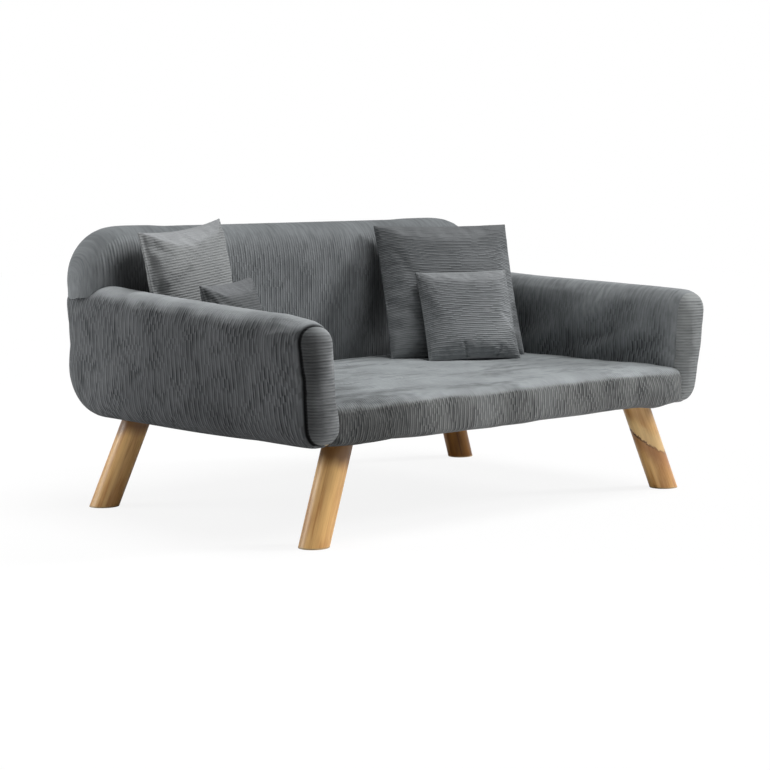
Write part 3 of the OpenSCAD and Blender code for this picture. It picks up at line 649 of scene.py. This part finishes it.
def arm_ribs(piece, side):
    """Ribs that run up an arm, with a dark line of painted shade where its end panel is sewn on.
    Outside, both have painted light towards the heel and painted shade towards the front, most
    of it low down. The left arm has a painted highlight just behind that line and more painted
    shade low down beside it. The right one has painted light on top and near its front end, and
    painted light and shade on its folds."""
    points = points_of(piece)
    low = ramp(points[:, 2], 0.215, 0.145)
    behind_seam = points[:, 1] - panel_seam_y
    outer = (side * points[:, 0] > arm_x + 0.012).astype(float)
    heel = ramp(points[:, 1], -0.05, 0.28)
    tone = outer * (0.14 * heel - (0.06 + 0.30 * low) * (1 - heel))
    tone = tone - seam_shade[side] * bell(behind_seam, 0.0028)
    if side < 0:
        tone = tone + 0.18 * bell(behind_seam - 0.006, 0.003)
        tone = tone - 0.35 * outer * low * bell(behind_seam, 0.016)
    else:
        for low_end, high_end, width, depth in arm_folds:
            tone = tone + 70 * depth * around(points[:, 1:], low_end, high_end, 1.3 * width)
        tone = tone + 0.05 + 0.55 * ramp(points[:, 2], 0.255, 0.325)
        tone = tone + 0.30 * bell(behind_seam, 0.022)
    across = wrapped(points[:, 1], sofa_rear, heel_radius)
    past = ramp(points[:, 1], sofa_rear - heel_turn, sofa_rear)
    across = across + past * np.abs(points[:, 0] - side * (arm_x + 0.03)) * 0.5
    ribbed(piece, across, points[:, 2], tone)


def grown(piece, name, gap, side):
    """A copy of an arm, a little larger all round and much larger outwards, to cut the back
    and the seat with."""
    cutter = twin(piece, name)
    points = points_of(cutter) + gap * normals_of(cutter)
    normals = normals_of(cutter)
    under = points[:, 2] < cutter_split_z
    outer = (side * normals[:, 0] > 0.84) | (under & (side * normals[:, 0] > 0.15))
    points[:, 0] += side * cutter_out * outer
    heel = under & (normals[:, 1] > 0.2) & (side * points[:, 0] > arm_x + 0.01)
    points[:, 1] += cutter_back * heel
    set_points(cutter, points)
    return cutter


# Soft slanting folds on the inside of an arm: ends in depth and height, width and depth
arm_folds = (
    ((0.040, 0.232), (-0.120, 0.306), 0.015, 0.0032),
    ((-0.010, 0.222), (-0.150, 0.262), 0.010, -0.0026),
    ((-0.100, 0.222), (-0.215, 0.270), 0.012, 0.0030),
    ((-0.160, 0.220), (-0.245, 0.250), 0.009, -0.0024),
    ((0.090, 0.250), (0.010, 0.300), 0.012, -0.0022),
    ((-0.150, 0.290), (-0.230, 0.325), 0.013, -0.0020),
)

arm_cutters = []
for side, label in ((-1, "left"), (1, "right")):
    arm = arm_slab(label + "_arm", side)
    plumped(arm, voxel=0.006, pressure=2.0, reach=0.004)
    finer(arm)
    arm_points = points_of(arm)
    inside = ramp(-side * normals_of(arm)[:, 0], 0.3, 0.8)
    rise = sum(depth * around(arm_points[:, 1:], low, high, width)
               for low, high, width, depth in arm_folds)
    arm_points[:, 0] -= side * inside * rise
    # The foot hangs a little slack in its middle. The left arm's upper front end sinks, and the
    # right arm draws in low down at its front and swells a little on top.
    upper = ramp(arm_points[:, 2], 0.26, 0.33)
    foot = ramp(arm_points[:, 2], 0.185, 0.150)
    hang = np.clip(1 - ((arm_points[:, 1] + 0.02) / 0.27) ** 2, 0, 1)
    arm_points[:, 2] -= foot_slack * foot * hang
    if side < 0:
        arm_points[:, 2] -= left_sink * upper * ramp(arm_points[:, 1], -0.225, -0.295)
    else:
        below = ramp(arm_points[:, 2], 0.245, 0.155)
        outward = ramp(arm_points[:, 0], arm_x, arm_x + 0.03)
        forward = ramp(arm_points[:, 1], -0.12, -0.24)
        arm_points[:, 0] -= right_draw * below * outward * forward
        arm_points[:, 2] += right_swell * upper * bell(arm_points[:, 1] + 0.14, 0.14)
    set_points(arm, arm_points)
    arm_cutters.append(grown(arm, label + "_cutter", cutter_gap, side))
    for offset in seam_rows:
        row = {"plane_co": (0, panel_seam_y + offset, 0), "plane_no": (0, 1, 0)}
        worked(arm, (bpy.ops.mesh.bisect, row))
    arm_points = points_of(arm)
    beside = bell(arm_points[:, 1] - panel_seam_y, 0.0036)[:, None]
    set_points(arm, arm_points - seam_groove[side] * beside * normals_of(arm) * (1, 0, 1))
    panel = twin(arm, label + "_arm_end")
    cut_off(arm, (0, panel_seam_y, 0), (0, -1, 0))
    cut_off(panel, (0, panel_seam_y, 0), (0, 1, 0))
    panel.data.transform(Matrix.Translation((0, -seam_gap, 0)))
    for piece in (arm, panel):
        shaded_smooth(piece, 50)
    arm_ribs(arm, side)
    end_points, end_normals = points_of(panel), normals_of(panel)
    # Painted shade on the left end panel along its seam and towards its outer side, and painted
    # highlights in a slanting band and along its inner edge. The right one is a little darker
    # towards its outer side
    if side < 0:
        seam = bell(panel_seam_y - end_points[:, 1], 0.0026) * (side * end_points[:, 0] > arm_x)
        inward = np.clip((arm_x + 0.006 - side * end_points[:, 0]) / 0.03, -1, 1)
        slant = around(end_points[:, (0, 2)], (-0.428, 0.215), (-0.392, 0.300), 0.011)
        tone = -0.70 * np.clip(0.32 - 0.9 * inward, 0, 1) + 0.26 * slant - 1.15 * seam
        tone = tone + 0.2 * (-side * end_normals[:, 0] > 0.72)
    else:
        tone = -0.12 * ramp(end_points[:, 0], arm_x - 0.01, arm_x + 0.02)
    ribbed(panel, end_points[:, 2], end_points[:, 0], tone)
    covered(arm, arm_cloths[side])
    covered(panel, panel_cloths[side])
    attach(arm, "sofa")
    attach(panel, "sofa")
    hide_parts(label + "_arm_cover", label + "_arm_foam")
    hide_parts(label + "_front_panel")


# Back
# The back is a wide board wrapped in foam, with thick rounded upper corners, in one corduroy
# cover. Its ends are cut out to sit over the arms, and its ribs run upright.
back_half_w, back_foot_z, back_top_z, back_front_y = 0.4535, 0.150, 0.453, 0.2075
back_outline = [(-back_half_w, back_foot_z), (back_half_w, back_foot_z),
                (back_half_w, back_top_z), (-back_half_w, back_top_z)]
back_corner = 0.088
back_radii = [0.060, 0.060, 0.110, back_corner]
back_half, back_rim, back_crown, back_crown_run = 0.050, 0.038, 0.005, 0.040
back_cloth = corduroy("back_corduroy", linear(137, 140, 142), linear(130, 134, 136),
                      linear(42, 45, 47), pitch=0.0050, run=0.090, dash=0.23, furrowed=0.25,
                      sheen=0.02)


def carved(piece, cutters):
    for cutter in cutters:
        finished_with(piece, "BOOLEAN", operation="DIFFERENCE", solver="EXACT", object=cutter)


back = padded_form(
    "back_pad", back_outline, back_radii,
    both_faces(back_half, back_rim, back_crown, back_crown_run),
    lambda x, z, out: Vector((x, (back_front_y + sofa_rear) / 2 + out, z)))
plumped(back, voxel=0.007, pressure=1.5, reach=0.003)
finer(back)
carved(back, arm_cutters)
back_cutter = twin(back, "back_cutter")
set_points(back_cutter, points_of(back_cutter) + cutter_gap * normals_of(back_cutter))
shaded_smooth(back, 38)
back_points = points_of(back)
back_side = np.sign(back_points[:, 0])
back_out = np.abs(back_points[:, 0])
back_across = back_side * wrapped(back_out, back_half_w, back_rim)
back_across += (back_side * ramp(back_out, back_half_w - heel_turn, back_half_w)
                * (back_points[:, 1] - back_front_y))
# The face has a painted shadow at its left end beside the left large pillow, painted light
# low down, and a painted shadow beside where the right large pillow leans. The pile of its
# upper corners is brushed.
back_flat = back_points[:, 1] < 0.222
back_face = back_points[:, (0, 2)]
back_tone = -0.8 * back_flat * around(back_face, (-0.380, 0.340), (-0.388, 0.392), 0.058)
back_tone += 0.34 * back_flat * ramp(back_points[:, 2], 0.285, 0.235)
right_pillow_painted_shadow = back_flat * np.maximum(
    around(back_face, (0.173, 0.195), (0.169, 0.262), 0.030),
    around(back_face, (0.169, 0.262), (0.159, 0.405), 0.024))
back_tone = (1 - right_pillow_painted_shadow) * back_tone - 0.42 * right_pillow_painted_shadow
corner = np.hypot(np.clip(back_out - back_half_w + back_corner, 0, 1),
                  np.clip(back_points[:, 2] - back_top_z + back_corner, 0, 1))
back_tone += 0.6 * ramp(corner, 0.040, 0.070)
ribbed(back, back_across, back_points[:, 2], back_tone)
covered(back, back_cloth)
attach(back, "sofa")
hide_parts("back_cover", "back_foam")

# Seat
# One flat foam pad in a fitted cover lies between the arms. Painted light makes its top paler
# with the ribs lost in it, so the ribs show plain only on its front, and its lower front edge
# hangs a little slack.
seat_cloth = corduroy("seat_corduroy", linear(131, 132, 131), linear(167, 172, 174),
                      linear(52, 54, 55), pitch=0.0044, run=0.030)
seat_front_y, seat_rear_y, seat_foot_z, seat_over_z = -0.3025, 0.2120, 0.150, 0.200
seat_thick, seat_rim, seat_crown, seat_crown_run = 0.062, 0.013, 0.004, 0.100
seat_sag, seat_sag_x = 0.007, 0.337
seat_wave, seat_dip, seat_swell, seat_ripple = 0.0016, 0.0012, 0.0022, 0.0010
seat = padded_form(
    "seat_pad",
    [(-arm_x, seat_front_y), (arm_x, seat_front_y), (arm_x, seat_rear_y), (-arm_x, seat_rear_y)],
    [0.030, 0.030, 0.012, 0.012],
    [(0.004, 0.0), (0.0, 0.004)] + one_face(seat_thick, seat_rim, seat_crown, seat_crown_run),
    lambda x, y, height: Vector((x, y, seat_foot_z + height)))
plumped(seat, voxel=0.007, pressure=1.5, reach=0.003)
# The cover's lower front edge waves a little and sags beside the right arm. Its top is uneven
# by a millimetre or two, and so is the upper front edge.
seat_points = points_of(seat)
for k, (x, y, z) in enumerate(seat_points):
    front = max(0.0, min(1.0, (-0.255 - y) / 0.04))
    low = max(0.0, min(1.0, (0.190 - z) / 0.030))
    sag = seat_sag * math.exp(-((x - seat_sag_x) / 0.022) ** 2)
    wave = (seat_wave * noise.noise(Vector((x * 16, 0.3, 1.7)))
            - seat_dip * math.exp(-((x + 0.1) / 0.2) ** 2))
    seat_points[k][2] -= front * low * (sag - wave)
    if z > seat_over_z:
        seat_points[k][2] += seat_swell * noise.noise(Vector((x * 7, y * 17, 0.2)))
        seat_points[k][2] += seat_ripple * noise.noise(Vector((x * 18, y * 40, 4.2)))
    edge = math.exp(-((z - 0.203) / 0.012) ** 2) * front
    seat_points[k][1] += edge * seat_wave * noise.noise(Vector((x * 42, z * 20, 7.7)))
set_points(seat, seat_points)
finer(seat)
carved(seat, arm_cutters + [back_cutter])
shaded_smooth(seat, 38)
# Long cloudy strokes of brushed and pressed pile run along the seat, darker towards its left.
seat_points = points_of(seat)
seat_tone = np.array([
    0.45 * noise.noise(Vector((x * 5.0, y * 22, 3.1)))
    + 0.50 * noise.noise(Vector((x * 12, y * 52, 8.4)))
    + (0.45 * noise.noise(Vector((x * 55, y * 150, 1.9))) if z > seat_over_z else 0.0)
    for x, y, z in seat_points])
seat_left = ramp(seat_points[:, 0], -0.17, -0.33)
seat_fore = ramp(seat_points[:, 1], 0.10, 0.0)
seat_front = seat_points[:, 2] < 0.198
seat_tone = (0.68 - 0.25 * seat_left) * seat_tone - 0.42 * seat_left * seat_fore
seat_tone -= 0.20 * ramp(seat_points[:, 0], -0.10, -0.30) * seat_front
ribbed(seat, seat_points[:, 0], seat_points[:, 2] + seat_points[:, 1], seat_tone)
covered(seat, seat_cloth)
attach(seat, "sofa")
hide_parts("seat_cover", "seat_foam")
for cutter in arm_cutters + [back_cutter]:
    bpy.data.objects.remove(cutter)

# Pillows
# Four loose square pillows of the same cloth, each two panels sewn all round with a narrow
# flat seam, and a zip along its lower edge. The ribs lie level, and the corners end in points.
pillow_steps = 64
pillow_hem = 0.0032
pillow_fullness = 0.36
pillow_start_share = 0.96
pillow_foot_z = 0.2123
pillow_gap, pillow_near = 0.0006, 0.02
flange_least, flange_shade = 0.006, 0.003
zip_share, zip_proud, zip_deep, zip_half, zip_cuts = 0.5, 0.0004, 0.0060, 0.0008, 15
# Copies of one cloth. The left small pillow's is darker, as painted shade; the other three differ
# only a little
pale_cloth = corduroy("pale_pillow_corduroy", linear(145, 147, 147), linear(159, 161, 163),
                      linear(100, 102, 104), pitch=0.0042, dash=0.10, run=0.035, furrowed=0.20)
shaded_left_small_cloth = corduroy("shaded_pillow_corduroy", linear(96, 98, 99), linear(115, 117, 119),
                     linear(68, 70, 72), pitch=0.0042, dash=0.06, run=0.035, furrowed=0.12)
grey_cloth = corduroy("grey_pillow_corduroy", linear(146, 149, 151), linear(156, 159, 161),
                      linear(72, 75, 77), pitch=0.0031, dash=0.42, run=0.160, furrowed=0.15)
slate_cloth = corduroy("slate_pillow_corduroy", linear(153, 156, 158), linear(165, 168, 170),
                       linear(86, 89, 91), pitch=0.0034, dash=0.45, run=0.200, furrowed=0.2)


def keep_clear(piece, others, gap):
    """Moves the points that reach into other pieces, or too near them, back out."""
    points = points_of(piece)
    for other in others:
        tree = bvhtree.BVHTree.FromPolygons([v.co for v in other.data.vertices],
                                            [p.vertices for p in other.data.polygons])
        for k, point in enumerate(points):
            spot, normal, face, far = tree.find_nearest(Vector(point), pillow_near)
            if spot is not None:
                depth = (Vector(point) - spot).dot(normal)
                if depth < gap:
                    points[k] = spot + normal * gap
    set_points(piece, points)


def pillow_at(foot, side, turn, lean, roll, crown_share):
    """Where a pillow stands: on its lower edge, or on one corner where it is rolled. It
    stands a little lower beside an arm, by a share of the seat's crown."""
    rise = (side / 2 * math.sin(math.radians(roll))
            + pillow_hem / 2 * math.sin(math.radians(lean)) - seat_crown * crown_share)
    place = Matrix.Translation((foot[0], foot[1], pillow_foot_z + rise))
    place @= Matrix.Rotation(math.radians(turn), 4, "Z")
    place @= Matrix.Rotation(math.radians(90 - lean), 4, "X")
    place @= Matrix.Rotation(math.radians(roll), 4, "Z")
    return place @ Matrix.Translation((0, side / 2, 0))


def pillow(name, side, thick, place, finish, seed, near, draw, hem_w, flange, folds, shift):
    """Two panels sewn together, stuffed, folded, stood in their place and kept clear of what
    is near."""
    clear_selection()
    bpy.ops.mesh.primitive_grid_add(x_subdivisions=pillow_steps, y_subdivisions=pillow_steps,
                                    size=2)
    piece = bpy.context.object
    piece.name = piece.data.name = name
    worked(piece, (bpy.ops.mesh.extrude_region_move,
                   {"TRANSFORM_OT_translate": {"value": (0, 0, 1)}}))
    grid = points_of(piece)
    s = 0.5 * (grid[:, 0] + np.sin(np.pi / 2 * grid[:, 0]))
    t = 0.5 * (grid[:, 1] + np.sin(np.pi / 2 * grid[:, 1]))
    front = grid[:, 2] > 0.5
    x = side / 2 * s * (1 - draw * s * s * (1 - t * t))
    y = side / 2 * t * (1 - draw * t * t * (1 - s * s))
    inner = 1 - 2 * hem_w / side
    inner_x = np.where(s < 0, 1 - 2 * flange / side, inner)
    si, ti = np.clip(s / inner_x, -1, 1), np.clip(t / inner, -1, 1)
    full = np.power(np.maximum((1 - si * si) * (1 - ti * ti), 0), pillow_fullness)
    z = pillow_hem / 2 + (thick - pillow_hem) / 2 * pillow_start_share * full
    set_points(piece, np.column_stack([x, y, np.where(front, z, -z)]))
    faces_outward(piece)
    hem = (np.abs(s) > inner_x) | (np.abs(t) > inner)
    stuffed(piece, pressure=1.5, reach=0.005, slack=0.015, held=hem, stiff=10.0)
    finer(piece)
    only(piece)
    bpy.ops.object.shade_smooth()
    local = points_of(piece)
    fore = local[:, 2] > pillow_hem
    # Painted shade darkens each pillow's upper half and painted light its lower half, by its
    # shift, and each fold carries the painted light and shade listed with it
    tone = shift * local[:, 1] / side
    for low, high, width, depth, shade in folds:
        near_fold = fore * around(local[:, :2], low, high, width)
        local[:, 2] += depth * near_fold
        tone = tone + shade * near_fold
    set_points(piece, local)
    # Painted shade in the crease beside the flat edge at the left
    beside_flange = local[:, 0] + side / 2 - flange - flange_shade
    tone = tone - 0.25 * (flange > flange_least) * bell(beside_flange, flange_shade)
    ribbed(piece, local[:, 1] + seed, local[:, 0] + seed, tone)
    piece.data.transform(place)
    keep_clear(piece, [bpy.data.objects[other] for other in near], pillow_gap)
    piece.data.materials.append(finish)
    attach(piece, name)
    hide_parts(name + "_cover", name + "_filling")


def zip_strip(name, side, place, draw):
    """A plain zip tape in the middle of a pillow's lower seam, a hair proud of the seam."""
    clear_selection()
    bpy.ops.mesh.primitive_cube_add(size=2)
    piece = bpy.context.object
    piece.name = piece.data.name = name
    worked(piece, (bpy.ops.mesh.subdivide, {"number_cuts": zip_cuts}))
    points = points_of(piece)
    s = zip_share * points[:, 0]
    edge = -side / 2 * (1 - draw * (1 - s * s))
    points[:, 0] = side / 2 * s
    points[:, 1] = edge - zip_proud + zip_deep * (1 + points[:, 1]) / 2
    points[:, 2] *= zip_half
    set_points(piece, points)
    faces_outward(piece)
    piece.data.transform(place)
    piece.data.materials.append(zip_cloth)
    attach(piece, name.removesuffix("_zip_strip"))
    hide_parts(name.removesuffix("_strip"))


zip_cloth, zip_tree, zip_shader = finish_named("zip_tape", 0.8)
zip_teeth = zip_tree.nodes.new("ShaderNodeTexWave")
zip_teeth.inputs["Scale"].default_value = 320.0
zip_tree.links.new(object_place(zip_tree), zip_teeth.inputs["Vector"])
zip_colour = blended(zip_tree, zip_teeth.outputs["Fac"], linear(30, 30, 32), linear(70, 70, 74))
zip_tree.links.new(zip_colour, zip_shader.inputs["Base Color"])
# Each pillow's width and thickness, the place of its lower edge, its turn, lean and roll in
# degrees, its share of the seat's crown, its cloth and what it is kept clear of
pillow_places = {
    "left_large_pillow": (0.239, 0.060, (-0.2795, 0.1365), 18.4, 10, 3.9, 0.45, pale_cloth,
                          ["left_arm", "back_pad", "seat_pad"]),
    "left_small_pillow": (0.160, 0.044, (-0.283, 0.0180), 20.5, 16.5, 2.4, 0.25, shaded_left_small_cloth,
                          ["left_arm", "seat_pad", "left_large_pillow"]),
    "right_large_pillow": (0.250, 0.060, (0.218, 0.0575), -25, 23.5, 0, 0.0, grey_cloth,
                           ["back_pad", "seat_pad"]),
    "right_small_pillow": (0.167, 0.044, (0.199, -0.0005), -27.5, 26.5, 1, 0.0, slate_cloth,
                           ["seat_pad", "right_large_pillow"]),
}
# How far each pillow's sides draw in, its seam and the flat edge at its left, its folds as
# ends, width, depth and painted shade, under zero, or painted light, over zero, on its face,
# and how much painted shade darkens its upper half, with painted light on its lower half
pillow_shapes = {
    "left_large_pillow": (0.07, 0.0022, 0.0085, (
        ((-0.102, 0.075), (-0.090, -0.090), 0.004, -0.0022, -0.30),
        ((-0.095, 0.020), (-0.040, 0.045), 0.009, -0.0026, -0.12),
        ((-0.020, 0.085), (0.060, 0.098), 0.010, 0.0020, 0.12)), -0.10),
    "left_small_pillow": (0.06, 0.0022, 0.0022, (
        # No fold here: painted shade along its left edge
        ((-0.078, 0.070), (-0.076, -0.040), 0.007, 0.0, -0.35),
        ((-0.060, 0.050), (-0.020, 0.030), 0.008, -0.0020, -0.12)), 0.0),
    "right_large_pillow": (0.025, 0.0020, 0.0020, (
        ((-0.124, -0.020), (-0.070, -0.052), 0.009, -0.0030, -0.10),
        ((-0.110, 0.105), (-0.080, 0.030), 0.010, -0.0020, -0.06),
        # No fold here: a painted shadow beside the right small pillow's left edge
        ((-0.063, -0.120), (-0.057, 0.010), 0.0110, 0.0, -0.75),
        ((0.105, -0.120), (0.085, -0.060), 0.008, -0.0030, -0.15)), -1.0),
    "right_small_pillow": (0.025, 0.0020, 0.0020, (
        ((-0.012, -0.084), (-0.020, -0.058), 0.0028, -0.0022, -0.45),
        ((0.038, -0.084), (0.047, -0.066), 0.0028, -0.0020, -0.45),
        ((-0.062, -0.074), (-0.030, -0.064), 0.0060, -0.0016, -0.10)), -0.55),
}
for number, (name, facts) in enumerate(pillow_places.items()):
    side, thick, foot, turn, lean, roll, crown_share, finish, near = facts
    place = pillow_at(foot, side, turn, lean, roll, crown_share)
    pillow(name, side, thick, place, finish, 0.37 * (number + 1), near, *pillow_shapes[name])
    zip_strip(name + "_zip_strip", side, place, pillow_shapes[name][0])


# Floor, backdrop and light
# A plain pale floor and a plain white surround. One wide soft light comes from above, one
# from the right and a little in front, and a small lamp lights the left side from behind.
floor_half = 6.0
clear_selection()
bpy.ops.mesh.primitive_plane_add(size=2 * floor_half, location=(0, 0, 0))
floor = bpy.context.object
floor.name = floor.data.name = "floor"
floor_finish, floor_tree, floor_shader = finish_named("pale_floor", 0.9, specular=0.1)
floor_cloud = speckle(floor_tree, object_place(floor_tree), 3.0, 2.0)
floor_colour = blended(floor_tree, floor_cloud, (0.90, 0.90, 0.90, 1), (0.93, 0.93, 0.93, 1))
floor_tree.links.new(floor_colour, floor_shader.inputs["Base Color"])
floor_glow = floor_tree.nodes.new("ShaderNodeEmission")
floor_seen = floor_tree.nodes.new("ShaderNodeLightPath")
floor_mix = floor_tree.nodes.new("ShaderNodeMixShader")
floor_share = figure(floor_tree, "MULTIPLY", floor_seen.outputs["Is Camera Ray"], 0.88)
floor_tree.links.new(floor_share, floor_mix.inputs[0])
floor_tree.links.new(floor_shader.outputs[0], floor_mix.inputs[1])
floor_tree.links.new(floor_glow.outputs[0], floor_mix.inputs[2])
floor_tree.links.new(floor_mix.outputs[0], floor_tree.nodes["Material Output"].inputs["Surface"])
floor.data.materials.append(floor_finish)

world = bpy.data.worlds.new("plain_surround")
bpy.context.scene.world = world
world.use_nodes = True
sky = world.node_tree
surround = sky.nodes["Background"]
surround.inputs["Color"].default_value = (1, 1, 1, 1)
surround.inputs["Strength"].default_value = 0.20
plain = sky.nodes.new("ShaderNodeBackground")
plain.inputs["Color"].default_value = (1, 1, 1, 1)
plain.inputs["Strength"].default_value = 1.0
seen = sky.nodes.new("ShaderNodeLightPath")
either = figure(sky, "MAXIMUM", seen.outputs["Is Camera Ray"], seen.outputs["Is Glossy Ray"])
either = figure(sky, "MAXIMUM", either, seen.outputs["Is Transmission Ray"])
joined = sky.nodes.new("ShaderNodeMixShader")
sky.links.new(either, joined.inputs[0])
sky.links.new(surround.outputs[0], joined.inputs[1])
sky.links.new(plain.outputs[0], joined.inputs[2])
sky.links.new(joined.outputs[0], sky.nodes["World Output"].inputs["Surface"])


def lamp(name, place, target, width, power):
    """A square soft lamp of a width at a place, turned to a target."""
    data = bpy.data.lights.new(name, "AREA")
    data.shape = "SQUARE"
    data.size = width
    data.energy = power
    light = bpy.data.objects.new(name, data)
    bpy.context.scene.collection.objects.link(light)
    light.visible_camera = False
    light.location = place
    light.rotation_euler = (Vector(target) - Vector(place)).to_track_quat("-Z", "Y").to_euler()


def far_lamp(name, way, strength, softness):
    """A lamp so far off that its light is even all over, shining along a way."""
    data = bpy.data.lights.new(name, "SUN")
    data.energy = strength
    data.angle = math.radians(softness)
    light = bpy.data.objects.new(name, data)
    bpy.context.scene.collection.objects.link(light)
    light.rotation_euler = Vector(way).to_track_quat("-Z", "Y").to_euler()


far_lamp("top_lamp", way=(-0.22, 0.25, -1.0), strength=2.05, softness=36)
far_lamp("key_lamp", way=(-0.85, 0.50, -0.50), strength=1.95, softness=12)
lamp("side_lamp", place=(-1.20, 0.95, 0.60), target=(-0.42, 0.22, 0.26), width=0.6, power=7.5)
